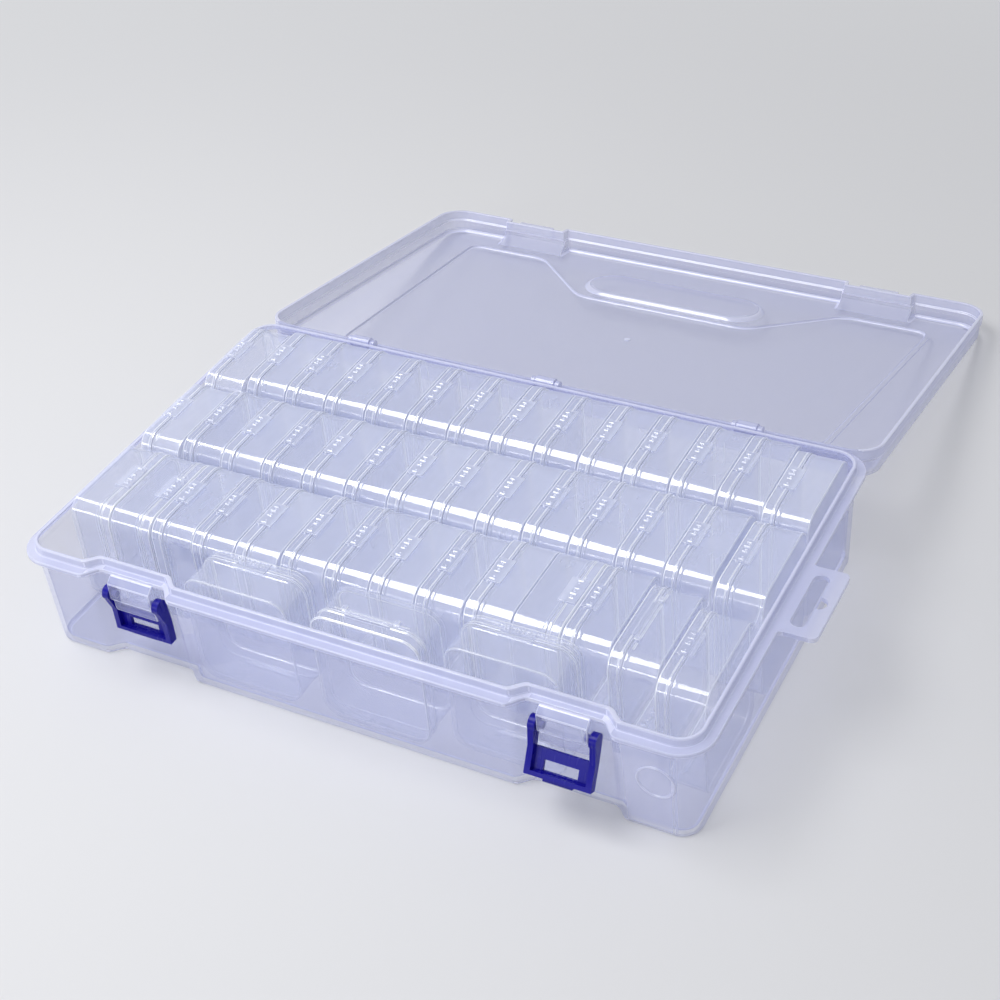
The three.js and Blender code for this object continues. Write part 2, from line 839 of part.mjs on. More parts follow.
addMesh(caseGroup, 'case_base', toGeometry(buildTray()), clearPlastic);

const lidHolder = new THREE.Group();
lidHolder.position.set(0, hingeY, hingeZ);
lidHolder.rotation.x = -turn - lidDroop();
addMesh(lidHolder, 'case_lid', toGeometry(buildLid()).translate(0, -hingeY, -hingeZ), clearPlastic);
caseGroup.add(lidHolder);

const latchGeometry = toGeometry(buildLatch());
['latch_left', 'latch_right'].forEach((name, i) => {
  const holder = new THREE.Group();
  holder.position.set(i === 0 ? -bayCentre : bayCentre, latchY, latchZ);
  holder.rotation.x = -THREE.MathUtils.degToRad(latch.restTilts[i]);
  addMesh(holder, name, latchGeometry, bluePlastic);
  caseGroup.add(holder);
});

const shutGeometry = toGeometry(shutBoxSolid());
const containerGeometry = toGeometry(looseContainerSolid());
const boxLidGeometry = toGeometry(looseLidSolid());
const boxFootZ = tray.floor + packing.floorGap;

// A box stands upright on its hinge, or on its clasp when turned over. `facing` turns its lid
// about Z, with 0 towards +X.
function addBox(name, x, y, facing, turnedOver, loose) {
  const stand = new THREE.Group();
  stand.position.set(x, y, boxFootZ + boxTop + (turnedOver ? box.claspProud + box.ribProud : box.hingeProud));
  stand.rotation.z = facing;
  const upright = new THREE.Group();
  upright.matrixAutoUpdate = false;
  upright.matrix.makeBasis(
    new THREE.Vector3(0, turnedOver ? -1 : 1, 0),
    new THREE.Vector3(0, 0, turnedOver ? -1 : 1),
    new THREE.Vector3(1, 0, 0),
  );
  const middle = new THREE.Group();
  middle.position.z = -half(box.thickness);
  if (loose) {
    addMesh(middle, `${name}_container`, containerGeometry, clearPlastic);
    addMesh(middle, `${name}_lid`, boxLidGeometry, clearPlastic);
  } else {
    addMesh(middle, name, shutGeometry, clearPlastic);
  }
  upright.add(middle);
  stand.add(upright);
  caseGroup.add(stand);
}

// Whatever stands in the tray has a span along X and a back face, and a box keeps a gap to it
const skin = tray.draft + tray.wall;
const bayReach = bay.halfWidth + bay.stepRun + skin + packing.bayGap;
const standing = [{ low: -tray.length, high: tray.length, back: -wallHalfDepth + skin + packing.frontGap }];
for (const centre of [-bayCentre, bayCentre]) {
  standing.push({ low: centre - bayReach, high: centre + bayReach, back: bayWallY + skin + packing.bayGap });
}
const roomBefore = (low, high, front) => front - Math.max(
  ...standing.filter((item) => item.low < high && item.high > low).map(({ back }) => back),
);

let crossLow = -wallHalfLength + skin;
for (const { name, before, turnedOver } of crosswise) {
  const low = crossLow + before;
  crossLow = low + box.width;
  const front = -roomBefore(low, crossLow, 0);
  addBox(name, half(low + crossLow), front + half(box.thickness), turnedOver ? -quarter : quarter, turnedOver, true);
  standing.push({ low, high: crossLow, back: front + box.thickness + packing.gap });
}

const rowHalfLength = wallHalfLength - skin - packing.endGap;
const pitch = box.thickness + packing.gap;
const rowCount = Math.floor((rowHalfLength * 2 + packing.gap) / pitch);
const spareLength = rowHalfLength * 2 + packing.gap - pitch * rowCount;
const rowBackY = wallHalfDepth - skin - packing.backGap;
const rowPitch = box.width + packing.gap;

// A box at the end of a row stands clear of the tray's rounded corner
const cornerInside = wallCorner - skin;
const cornerSlip = cornerInside - Math.sqrt(cornerInside ** 2 - (cornerInside - packing.endGap) ** 2);

rows.forEach(({ name: rowName, endShares, forwardShares, lidOnRight, turnedOver }, rowIndex) => {
  const rowBack = rowBackY - rowPitch * (rows.length - 1 - rowIndex);
  for (let i = 0; i < rowCount; i += 1) {
    const fromRight = rowCount - 1 - i;
    const evenly = i / (rowCount - 1);
    const slid = endShares.length > 0 ? endShares.at(-1 - fromRight) ?? 0 : evenly;
    const low = -rowHalfLength + pitch * i + spareLength * slid;
    const atEnd = i === 0 || fromRight === 0;
    const restFront = rowBack - box.width - (atEnd ? cornerSlip : 0);
    const share = forwardShares[Math.min(i, forwardShares.length - 1)];
    const front = restFront - share * roomBefore(low, low + box.thickness, restFront);
    const name = `${rowName}_box_${i + 1}`;
    addBox(
      name,
      low + half(box.thickness),
      front + half(box.width),
      lidOnRight.includes(i) ? 0 : turn,
      turnedOver.includes(i),
      openable.includes(name),
    );
    standing.push({ low, high: low + box.thickness, back: front + box.width + packing.gap });
  }
});

export default caseGroup;
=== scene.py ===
import json
import math
import random

import bmesh
import bpy
from mathutils import Matrix, Vector

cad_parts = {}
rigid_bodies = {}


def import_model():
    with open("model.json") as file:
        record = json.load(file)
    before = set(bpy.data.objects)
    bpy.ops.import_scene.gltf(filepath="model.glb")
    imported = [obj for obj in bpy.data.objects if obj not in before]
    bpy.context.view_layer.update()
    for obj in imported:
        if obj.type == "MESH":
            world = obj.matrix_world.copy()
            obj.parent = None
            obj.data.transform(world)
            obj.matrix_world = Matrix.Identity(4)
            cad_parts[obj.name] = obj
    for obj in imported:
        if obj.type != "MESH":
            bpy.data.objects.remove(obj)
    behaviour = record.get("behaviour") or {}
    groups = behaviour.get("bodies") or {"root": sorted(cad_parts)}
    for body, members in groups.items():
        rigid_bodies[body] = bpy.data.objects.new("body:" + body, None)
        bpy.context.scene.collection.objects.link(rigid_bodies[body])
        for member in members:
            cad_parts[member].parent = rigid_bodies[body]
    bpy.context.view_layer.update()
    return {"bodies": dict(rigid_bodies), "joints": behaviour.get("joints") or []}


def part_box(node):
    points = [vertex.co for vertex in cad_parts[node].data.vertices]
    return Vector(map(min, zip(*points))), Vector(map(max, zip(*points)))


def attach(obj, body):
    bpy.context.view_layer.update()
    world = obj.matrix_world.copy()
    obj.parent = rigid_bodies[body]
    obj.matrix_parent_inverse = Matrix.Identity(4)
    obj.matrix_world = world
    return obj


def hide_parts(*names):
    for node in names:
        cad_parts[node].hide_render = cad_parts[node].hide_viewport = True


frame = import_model()
joints = {joint["name"]: joint for joint in frame["joints"]}
mm = 0.001  # sizes below are in millimetres, as the case was measured
overrun = 2  # how far a cut runs past what it cuts
hair = 0.01  # small overlap, so that two solids join
weldGap = 1e-7  # in metres, points nearer than this are one
profileSteps = 4  # points for each millimetre of a rounding in a profile


# small helpers for outlines and solids

def arcPoints(centreX, centreY, radius, start, sweep, steps):
    return [
        (centreX + radius * math.cos(start + sweep * i / steps),
         centreY + radius * math.sin(start + sweep * i / steps))
        for i in range(steps + 1)
    ]


def cornerArcs(halfX, halfY, corner, steps):
    x, y, quarter = halfX - corner, halfY - corner, math.pi / 2
    return [
        arcPoints(sx * x, sy * y, corner, start, quarter, steps)
        for sx, sy, start in ((-1, -1, math.pi), (1, -1, -quarter), (1, 1, 0), (-1, 1, quarter))
    ]


def stadium(halfLength, halfWidth, steps):
    x = halfLength - halfWidth
    return (arcPoints(x, 0, halfWidth, -math.pi / 2, math.pi, steps)
            + arcPoints(-x, 0, halfWidth, math.pi / 2, math.pi, steps))


def curveAt(before, corner, after, reach, steps):
    start = corner + (before - corner).normalized() * reach
    end = corner + (after - corner).normalized() * reach
    points = []
    for i in range(steps + 1):
        t = i / steps
        points.append(start * (1 - t) ** 2 + corner * 2 * t * (1 - t) + end * t ** 2)
    return points


def roundCorners(points, radius, steps):
    rounded = []
    for i, point in enumerate(points):
        corner = Vector(point)
        before, after = Vector(points[i - 1]), Vector(points[(i + 1) % len(points)])
        reach = min(radius, (before - corner).length / 2, (after - corner).length / 2)
        rounded += [tuple(p) for p in curveAt(before, corner, after, reach, steps)]
    return rounded


def roundPath(corners):
    # open path of (offset, height, radius); its inner corners become curves
    path = [corners[0][:2]]
    for i in range(1, len(corners) - 1):
        corner = Vector(corners[i][:2])
        before, after = Vector(corners[i - 1][:2]), Vector(corners[i + 1][:2])
        reach = min(corners[i][2], (before - corner).length / 2, (after - corner).length / 2)
        count = max(2, round(profileSteps * min(1, reach)))
        path += [tuple(p) for p in curveAt(before, corner, after, reach, count)]
    return path + [corners[-1][:2]]


def newObject(name, mesh):
    piece = bpy.data.objects.new(name, mesh)
    bpy.context.scene.collection.objects.link(piece)
    return piece


def meshPiece(name, points, faces):
    mesh = bpy.data.meshes.new(name)
    mesh.from_pydata(points, [], faces)
    return newObject(name, mesh)


def editMesh(piece, edit):
    bm = bmesh.new()
    bm.from_mesh(piece.data)
    edit(bm)
    bm.to_mesh(piece.data)
    bm.free()
    return piece


def loft(name, rings):
    # skin through rings of equal count, anticlockwise seen from above; both ends are closed
    count = len(rings[0])
    points = [tuple(c * mm for c in point) for ring in rings for point in ring]
    faces = [
        (ring * count + i, ring * count + (i + 1) % count,
         (ring + 1) * count + (i + 1) % count, (ring + 1) * count + i)
        for ring in range(len(rings) - 1) for i in range(count)
    ]
    faces.append(tuple(reversed(range(count))))
    faces.append(tuple(range((len(rings) - 1) * count, len(rings) * count)))
    return editMesh(meshPiece(name, points, faces),
                    lambda bm: bmesh.ops.remove_doubles(bm, verts=bm.verts, dist=weldGap))


def level(outline, z):
    return [(x, y, z) for x, y in outline]


def sideSpan(side, near, far, middle=0):
    # the stretch from near to far on one side of the middle
    return sorted((middle + side * near, middle + side * far))


def prism(name, outline, low, high):
    return loft(name, [level(outline, low), level(outline, high)])


def block(name, spanX, spanY, spanZ):
    (x0, x1), (y0, y1) = spanX, spanY
    return prism(name, [(x0, y0), (x1, y0), (x1, y1), (x0, y1)], *spanZ)


def turned(piece, matrix):
    piece.data.transform(matrix)
    if matrix.to_3x3().determinant() < 0:
        piece.data.flip_normals()
    return piece


def outward(piece):
    return editMesh(piece, lambda bm: bmesh.ops.recalc_face_normals(bm, faces=bm.faces))


def alongX(name, profile, x0, x1):
    # prism along X over a profile of (y, z), in either sense
    piece = prism(name, profile, x0, x1)
    return outward(turned(piece, Matrix(((0, 0, 1, 0), (1, 0, 0, 0), (0, 1, 0, 0), (0, 0, 0, 1)))))


def barAlongX(name, radius, x0, x1, y, z, sides=32):
    return alongX(name, arcPoints(y, z, radius, 0, math.tau, sides)[:-1], x0, x1)


def bake(piece):
    depsgraph = bpy.context.evaluated_depsgraph_get()
    mesh = bpy.data.meshes.new_from_object(piece.evaluated_get(depsgraph))
    old = piece.data
    piece.modifiers.clear()
    piece.data = mesh
    mesh.name = piece.name
    bpy.data.meshes.remove(old)
    return piece


def carve(piece, tools, operation):
    for tool in tools:
        modifier = piece.modifiers.new("carve", "BOOLEAN")
        modifier.solver = "MANIFOLD"
        modifier.operation = operation
        modifier.object = tool
    bake(piece)
    for tool in tools:
        bpy.data.objects.remove(tool)
    return piece


def soften(piece, width, angle, segments=2):
    modifier = piece.modifiers.new("soften", "BEVEL")
    modifier.width = width * mm
    modifier.segments = segments
    modifier.limit_method = "ANGLE"
    modifier.angle_limit = math.radians(angle)
    modifier.use_clamp_overlap = True
    return bake(piece)


def merge(name, parts):
    bm = bmesh.new()
    for part in parts:
        bm.from_mesh(part.data)
        bpy.data.objects.remove(part)
    mesh = bpy.data.meshes.new(name)
    bm.to_mesh(mesh)
    bm.free()
    return newObject(name, mesh)


def markRims(piece, rimWidth, spreadAngle=26, sharpAngle=44, weight=60):
    # narrow faces that turn an edge are the piece's rims, marked for denser haze and a painted whiter edge
    # glow; smooth shading is set here too
    limit = math.cos(math.radians(spreadAngle))

    def markAndSmooth(bm):
        bmesh.ops.remove_doubles(bm, verts=bm.verts, dist=2 * weldGap)
        bm.normal_update()
        rim = bm.faces.layers.float.get("rim") or bm.faces.layers.float.new("rim")
        for face in bm.faces:
            face.smooth = True
            longest = max(edge.calc_length() for edge in face.edges)
            narrow = longest > 0 and face.calc_area() / longest < rimWidth * mm
            normals = [beside.normal for edge in face.edges
                       for beside in edge.link_faces if beside is not face]
            turnsEdge = narrow and any(
                a.dot(b) < limit for i, a in enumerate(normals) for b in normals[i + 1:])
            face[rim] = 1.0 if turnsEdge else 0.0
        for edge in bm.edges:
            edge.smooth = len(edge.link_faces) == 2 and edge.calc_face_angle(0) < math.radians(sharpAngle)

    editMesh(piece, markAndSmooth)
    modifier = piece.modifiers.new("normals", "WEIGHTED_NORMAL")
    modifier.keep_sharp = True
    modifier.weight = weight
    return bake(piece)


def holdRims(piece, held, chosen):
    # thicker or rounded stretches get denser haze and a painted highlight that makes them whiter: held is
    # the least and the most of it, and chosen picks the faces, by centre in mm and normal
    least, most = held
    mesh = piece.data
    for face, value in zip(mesh.polygons, mesh.attributes["rim"].data):
        if chosen(face.center / mm, face.normal):
            value.value = min(max(value.value, least), most)
    return piece


def latchBayOff(at):
    # how far a place is from the middle of its latch bay, along X
    return abs(abs(at.x) - tray["bayCentre"])


# node helpers

def feed(tree, socket, value):
    # value is a plain value or the output of another node
    if hasattr(value, "links"):
        tree.links.new(value, socket)
    else:
        socket.default_value = value


def addNode(tree, kind, inputs=None, **settings):
    node = tree.nodes.new(kind)
    for name, value in settings.items():
        setattr(node, name, value)
    for name, value in (inputs or {}).items():
        feed(tree, node.inputs[name], value)
    return node


def addSockets(tree, side, kinds):
    for kind, names in kinds.items():
        for name in names:
            tree.interface.new_socket(name, in_out=side, socket_type="NodeSocket" + kind)


def mathNode(tree, operation, *values, clamp=False):
    inputs = dict(enumerate(values))
    return addNode(tree, "ShaderNodeMath", inputs, operation=operation, use_clamp=clamp).outputs[0]


def mixColour(tree, factor, a, b):
    # a mix node's colours are its inputs 6 and 7 and its output 2
    return addNode(tree, "ShaderNodeMix", {0: factor, 6: a, 7: b}, data_type="RGBA").outputs[2]


def noise(tree, vector, scale, detail):
    inputs = {"Vector": vector, "Scale": scale, "Detail": detail}
    return addNode(tree, "ShaderNodeTexNoise", inputs).outputs[0]


# how every moulded plastic here is grained
grain = {
    "detail": 1.0, "lineScale": 9.0, "lineStretch": (1.0, 0.35, 0.12), "lineTurn": (0.25, 0.1, 0.4),
    "middle": 0.5, "cloudShare": 2.0, "paleShare": 0.35, "wornFrom": 0.45, "bumpDistance": 0.0002,
    "slantBlend": 0.5, "slantPower": 3.0,
}


def mouldedPlasticGroup():
    # the cloudy body of moulded plastic, with flow lines; its rims are hazier, where the wall is seen
    # edge-on, and painted whiter as a glow of light along the edges
    g = grain
    tree = bpy.data.node_groups.new("mouldedPlastic", "ShaderNodeTree")
    addSockets(tree, "INPUT", {
        "Color": ("Body Colour", "Rim Colour"),
        "Float": ("Rim Mask", "Tone", "Body Haze", "Rim Haze", "Cloud Scale", "Cloud Amount", "Gloss",
                  "Gloss Spread"),
    })
    addSockets(tree, "OUTPUT", {"Color": ["Colour"], "Float": ("Haze", "Roughness", "Height")})
    given = addNode(tree, "NodeGroupInput").outputs
    place = addNode(tree, "ShaderNodeTexCoord").outputs["Object"]
    clouds = noise(tree, place, given["Cloud Scale"], g["detail"])
    flow = addNode(tree, "ShaderNodeMapping", {
        "Vector": place, "Scale": g["lineStretch"], "Rotation": g["lineTurn"]}).outputs[0]
    lineScale = mathNode(tree, "MULTIPLY", given["Cloud Scale"], g["lineScale"])
    lines = noise(tree, flow, lineScale, g["detail"])
    swing = mathNode(tree, "MULTIPLY", mathNode(tree, "SUBTRACT", clouds, g["middle"]), g["cloudShare"])
    swing = mathNode(tree, "ADD", swing, mathNode(tree, "SUBTRACT", lines, g["middle"]))
    swing = mathNode(tree, "MULTIPLY", swing, given["Cloud Amount"])
    swing = mathNode(tree, "ADD", mathNode(tree, "ADD", swing, given["Tone"]), 1.0)
    body = mathNode(tree, "MULTIPLY", given["Body Haze"], swing)
    step = mathNode(tree, "SUBTRACT", given["Rim Haze"], body)
    haze = mathNode(tree, "MULTIPLY_ADD", step, given["Rim Mask"], body, clamp=True)
    pale = mathNode(tree, "MULTIPLY_ADD", swing, g["paleShare"], -g["paleShare"], clamp=True)
    tinted = mixColour(tree, pale, given["Body Colour"], given["Rim Colour"])
    # painted highlight: the rim mask whitens the colour towards the rim colour
    colour = mixColour(tree, given["Rim Mask"], tinted, given["Rim Colour"])
    worn = mathNode(tree, "SUBTRACT", lines, g["wornFrom"])
    roughness = mathNode(tree, "MULTIPLY_ADD", worn, given["Gloss Spread"], given["Gloss"], clamp=True)
    addNode(tree, "NodeGroupOutput", {
        "Colour": colour, "Haze": haze, "Roughness": roughness, "Height": lines})
    return tree


def clearAlpha(tree, haze, look):
    # a wall is hazy once, on the side it is entered, and denser where it is seen along its length
    facing = addNode(tree, "ShaderNodeLayerWeight", {"Blend": grain["slantBlend"]}).outputs["Facing"]
    steep = mathNode(tree, "POWER", facing, grain["slantPower"])
    alpha = mathNode(tree, "MULTIPLY_ADD", steep, look["slantHaze"], haze, clamp=True)
    inside = addNode(tree, "ShaderNodeNewGeometry").outputs["Backfacing"]
    shadow = addNode(tree, "ShaderNodeLightPath").outputs["Is Shadow Ray"]
    for mask, share in ((inside, look["insideShare"]), (shadow, look["shadowShare"])):
        alpha = mathNode(tree, "MULTIPLY", alpha, mathNode(tree, "MULTIPLY_ADD", mask, share - 1, 1.0))
    return alpha


def plasticMaterial(name, group, look):
    material = bpy.data.materials.new(name)
    material.use_nodes = True
    tree = material.node_tree
    shader = tree.nodes["Principled BSDF"]
    mix = addNode(tree, "ShaderNodeGroup", node_tree=group)
    for socket, value in look["mix"].items():
        mix.inputs[socket].default_value = value
    for socket, attribute in (("Rim Mask", "rim"), ("Tone", "tone")):
        mask = addNode(tree, "ShaderNodeAttribute", attribute_name=attribute)
        feed(tree, mix.inputs[socket], mask.outputs["Fac"])
    bump = addNode(tree, "ShaderNodeBump", {
        "Strength": look["bump"], "Distance": grain["bumpDistance"], "Height": mix.outputs["Height"]})
    inputs = dict(look["shader"])
    inputs.update({"Base Color": mix.outputs["Colour"], "Roughness": mix.outputs["Roughness"],
                   "Normal": bump.outputs["Normal"]})
    if look["clear"]:
        inputs["Alpha"] = clearAlpha(tree, mix.outputs["Haze"], look)
    for socket, value in inputs.items():
        feed(tree, shader.inputs[socket], value)
    return material


# Rim Haze makes the rims denser; Rim Colour paints them paler, a painted glow of light along the edges
looks = {
    "casePlastic": {
        "clear": True, "bump": 0.015, "slantHaze": 0.35, "insideShare": 0.15, "shadowShare": 0.7,
        "shader": {"IOR": 1.8, "Specular IOR Level": 0.8},
        "mix": {"Body Colour": (0.41, 0.45, 0.82, 1), "Rim Colour": (0.71, 0.73, 0.94, 1),
                "Body Haze": 0.28, "Rim Haze": 0.85, "Cloud Scale": 16.0, "Cloud Amount": 0.06,
                "Gloss": 0.20, "Gloss Spread": 0.1},
    },
    "boxPlastic": {
        "clear": True, "bump": 0.01, "slantHaze": 0.35, "insideShare": 0.15, "shadowShare": 0.4,
        "shader": {"IOR": 2.4, "Specular IOR Level": 0.9},
        "mix": {"Body Colour": (0.72, 0.77, 1.0, 1), "Rim Colour": (0.88, 0.91, 1.0, 1),
                "Body Haze": 0.39, "Rim Haze": 0.9, "Cloud Scale": 40.0, "Cloud Amount": 0.08,
                "Gloss": 0.10, "Gloss Spread": 0.06},
    },
    # on the latch the paler blue Rim Colour is a painted highlight along its edges
    "latchPlastic": {
        "clear": False, "bump": 0.03,
        "shader": {"IOR": 1.45, "Specular IOR Level": 0.22, "Coat Weight": 0.04, "Coat Roughness": 0.1},
        "mix": {"Body Colour": (0.008, 0.006, 0.28, 1), "Rim Colour": (0.02, 0.02, 0.46, 1),
                "Body Haze": 1.0, "Rim Haze": 1.0, "Cloud Scale": 60.0, "Cloud Amount": 0.1,
                "Gloss": 0.25, "Gloss Spread": 0.15},
    },
}
mouldedPlastic = mouldedPlasticGroup()
materials = {name: plasticMaterial(name, mouldedPlastic, look) for name, look in looks.items()}
print("materials ready")


def handOver(piece, body, materialName, *nodes, tone=0.0):
    piece.data.materials.clear()
    piece.data.materials.append(materials[materialName])
    layer = piece.data.attributes.get("tone") or piece.data.attributes.new("tone", "FLOAT", "FACE")
    layer.data.foreach_set("value", [tone] * len(piece.data.polygons))
    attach(piece, body)
    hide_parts(*nodes)
    return piece


# tray

tray = {
    "length": 302, "depth": 187, "flangeCorner": 14, "flangeTop": 48.4, "flangeThickness": 2,
    "flangeReach": 4, "upstand": 3.5, "wall": 1.6, "floor": 1.8, "draft": 1.3, "footRounding": 3.2,
    "flatRun": 1, "underRounding": 0.7, "rootRounding": 0.6, "edge": 0.55,
    "cornerSteps": 14, "waveSteps": 12,
    "bayCentre": 95.7, "bayHalf": 14.4, "bayRun": 7.8, "wallRecess": 5, "flangeRecess": 6.4,
    "rimWidth": 0.75, "slantFrom": 0.2, "slantTo": 0.95, "rimSlack": 0.1,
    "slantRims": (0.25, 0.8), "flangeRims": (0.62, 1),
}
flangeBottom = tray["flangeTop"] - tray["flangeThickness"]
wallHalfLength = tray["length"] / 2 - tray["flangeReach"]
wallHalfDepth = tray["depth"] / 2 - tray["flangeReach"]
bayWallY = -wallHalfDepth + tray["wallRecess"]


def caseOutline(halfLength, halfDepth, corner, bayHalf, run, dip):
    # rounded rectangle that steps inward by dip at each latch bay
    bays = []
    for centre in (-tray["bayCentre"], tray["bayCentre"]):
        for side in (-1, 1):
            for i in range(tray["waveSteps"] + 1):
                t = i / tray["waveSteps"]
                along = bayHalf + run * (1 - t if side < 0 else t)
                depth = dip * (1 + side * math.cos(math.pi * t)) / 2
                bays.append((centre + side * along, -halfDepth + depth))
    first, *others = cornerArcs(halfLength, halfDepth, corner, tray["cornerSteps"])
    return first + bays + sum(others, [])


def trayRing(inset, z):
    flangeShare = max(-inset, 0) / tray["flangeReach"]
    dip = tray["wallRecess"] + (tray["flangeRecess"] - tray["wallRecess"]) * flangeShare
    return level(caseOutline(
        wallHalfLength - inset, wallHalfDepth - inset, tray["flangeCorner"] - tray["flangeReach"] - inset,
        tray["bayHalf"] + max(inset, 0), tray["bayRun"], dip), z)


def trayShell():
    t = tray
    foot, top, edge = t["footRounding"], t["flangeTop"] + t["upstand"], t["edge"]
    inner = t["wall"] + t["draft"]
    path = roundPath([
        (t["draft"] + foot + t["flatRun"], 0, 0),
        (t["draft"], 0, foot),
        (0, flangeBottom, t["underRounding"]),
        (-t["flangeReach"], flangeBottom, edge),
        (-t["flangeReach"], t["flangeTop"], edge),
        (0, t["flangeTop"], t["rootRounding"]),
        (0, top, edge),
        (t["wall"], top, edge),
        (inner, t["floor"], foot - t["wall"]),
        (inner + foot, t["floor"], 0),
    ])
    return loft("caseBase", [trayRing(inset, z) for inset, z in path])


lug = {
    "halfWidth": 10.3, "rootInset": 4.6, "rootLap": 1, "topReach": 3.4, "ridgeReach": 6.4, "skirtReach": 5,
    "footReach": 3, "topDrop": 1.6, "shoulderDrop": 2.3, "ridgeHeight": 6.6, "skirtHeight": 6,
    "footDrop": 0.6, "edge": 0.45, "softAngle": 20, "rims": (0.12, 0.9), "rimDepth": 0.3, "rimSide": 0.5,
}
latch = {
    "pivotOut": 4, "pivotDrop": 10.1,
    "earRadius": 3.2, "bossRadius": 1.4, "bossRoom": 0.3, "bossLength": 2.5, "bossInset": 0.5,
    "earGap": 0.5, "sideGap": 0.9, "halfWidth": 13.6, "length": 20.2,
    "plateStart": 9.4, "plateSeat": 2.4, "plateThickness": 1.6, "hookSeat": 0.3, "hookThickness": 1.8,
    "fingerHalfWidth": 6, "fingerReach": 1.2, "windowHalfWidth": 7, "windowStart": 13.5, "windowEnd": 18,
    "edge": 0.32, "softAngle": 42, "softSegments": 3, "rimWidth": 0.5,
    "cheekSteps": 18, "earSides": 36, "bossSides": 24,
}
latchY = bayWallY - latch["pivotOut"]
latchZ = tray["flangeTop"] - latch["pivotDrop"]


def lugPiece(centre):
    g = lug
    root, ridge = bayWallY + g["rootInset"] - latch["pivotOut"], bayWallY - g["ridgeReach"]
    shoulder = latchZ - g["shoulderDrop"]
    foot = shoulder - g["skirtHeight"]
    profile = [
        (root, flangeBottom + g["rootLap"]),
        (bayWallY - g["topReach"], flangeBottom + g["rootLap"]),
        (ridge, latchZ + g["ridgeHeight"]),
        (ridge, latchZ - g["topDrop"]),
        (bayWallY - g["skirtReach"], shoulder),
        (latchY - latch["bossRadius"] / 2, foot),
        (bayWallY - g["footReach"], foot - g["footDrop"]),
        (root, latchZ - g["ridgeHeight"] + g["topDrop"]),
    ]
    piece = alongX("lug", list(reversed(profile)), centre - g["halfWidth"], centre + g["halfWidth"])
    return soften(piece, g["edge"], g["softAngle"])


def lugBores(centre):
    radius = latch["bossRadius"] + latch["bossRoom"]
    end = lug["halfWidth"] + latch["earGap"] - latch["bossLength"] - latch["bossRoom"]
    far = lug["halfWidth"] + overrun
    return [
        barAlongX("bore", radius, *sideSpan(side, end, far, centre), latchY, latchZ)
        for side in (-1, 1)
    ]


tab = {
    "halfWidth": 20, "reach": 14.6, "corner": 3, "cornerSteps": 8, "slotHalfWidth": 15.5, "slotDepth": 6.5,
    "slotFromFlange": 2, "slotSteps": 10, "notchRadius": 3.4, "notchReach": 8.6, "notchSides": 28,
    "edge": 0.3, "softAngle": 50,
}


def tabPiece():
    t = tab
    edge = tray["length"] / 2
    root, tip = edge - tray["flangeReach"] / 2, edge + t["reach"]
    wide, half = t["halfWidth"] + t["corner"], t["halfWidth"]
    outline = [(root, -wide), (edge, -half), (tip, -half), (tip, half), (edge, half), (root, wide)]
    outline = roundCorners(outline, t["corner"], t["cornerSteps"])
    plate = prism("tab", outline, flangeBottom, tray["flangeTop"])
    slotX = edge + t["slotFromFlange"] + t["slotDepth"] / 2
    slot = [(slotX - y, x) for x, y in stadium(t["slotHalfWidth"], t["slotDepth"] / 2, t["slotSteps"])]
    notch = arcPoints(
        edge + t["notchReach"], 0, t["notchRadius"], -math.pi, math.tau, t["notchSides"])[:-1]
    low, high = flangeBottom - overrun, tray["flangeTop"] + overrun
    hole = carve(prism("slot", slot, low, high), [prism("notch", notch, low, high)], "UNION")
    return soften(carve(plate, [hole], "DIFFERENCE"), t["edge"], t["softAngle"])


mark = {
    "x": 131, "height": 27, "radius": 7.3, "line": 0.5, "majorSteps": 56, "minorSteps": 10,
    "rims": (0.3, 0.7), "rimRoom": 0.2,
}


def markPiece():
    # moulded ring on the front wall
    m = mark
    around, across = m["majorSteps"], m["minorSteps"]
    points, faces = [], []
    for i in range(around):
        near, far, a = i * across, (i + 1) % around * across, math.tau * i / around
        for j in range(across):
            k, b = (j + 1) % across, math.tau * j / across
            reach = (m["radius"] + m["line"] * math.cos(b)) * mm
            points.append((reach * math.cos(a), m["line"] * math.sin(b) * mm, reach * math.sin(a)))
            faces.append((near + j, near + k, far + k, far + j))
    y = -wallHalfDepth + tray["draft"] * (flangeBottom - m["height"]) / flangeBottom
    place = Matrix.Translation((m["x"] * mm, y * mm, m["height"] * mm))
    slant = math.atan2(tray["draft"], flangeBottom)
    ring = outward(meshPiece("mark", points, faces))
    return turned(ring, place @ Matrix.Rotation(slant, 4, "X"))


hinge = {
    "places": (-95, 0, 95), "axisOut": 0.6, "axisUp": 0.2, "pinRadius": 1.25, "earRadius": 2.2,
    "earThickness": 2, "earEdge": 0.25, "softAngle": 60, "boreRadius": 1.55, "ringRadius": 2.9,
    "ringHalfWidth": 4.4, "sideGap": 0.5, "earRoom": 0.8, "notchRoom": 0.8, "rims": (0, 0.4),
}
hingeY = tray["depth"] / 2 + hinge["axisOut"]
hingeZ = tray["flangeTop"] + hinge["axisUp"]
hingeNotchY = hingeY - hinge["ringRadius"] - hinge["notchRoom"]


def trayHinge(x):
    h = hinge
    start = h["ringHalfWidth"] + h["sideGap"]
    end = start + h["earThickness"]
    notch = block("notch", (x - start, x + start), (hingeNotchY, hingeY + overrun),
                  (flangeBottom - overrun, tray["flangeTop"] + overrun))
    ears = []
    for side in (-1, 1):
        ear = barAlongX("ear", h["earRadius"], *sideSpan(side, start, end, x), hingeY, hingeZ)
        ears.append(soften(ear, h["earEdge"], h["softAngle"]))
    pinHalf = (start + end) / 2
    return notch, ears + [barAlongX("pin", h["pinRadius"], x - pinHalf, x + pinHalf, hingeY, hingeZ)]


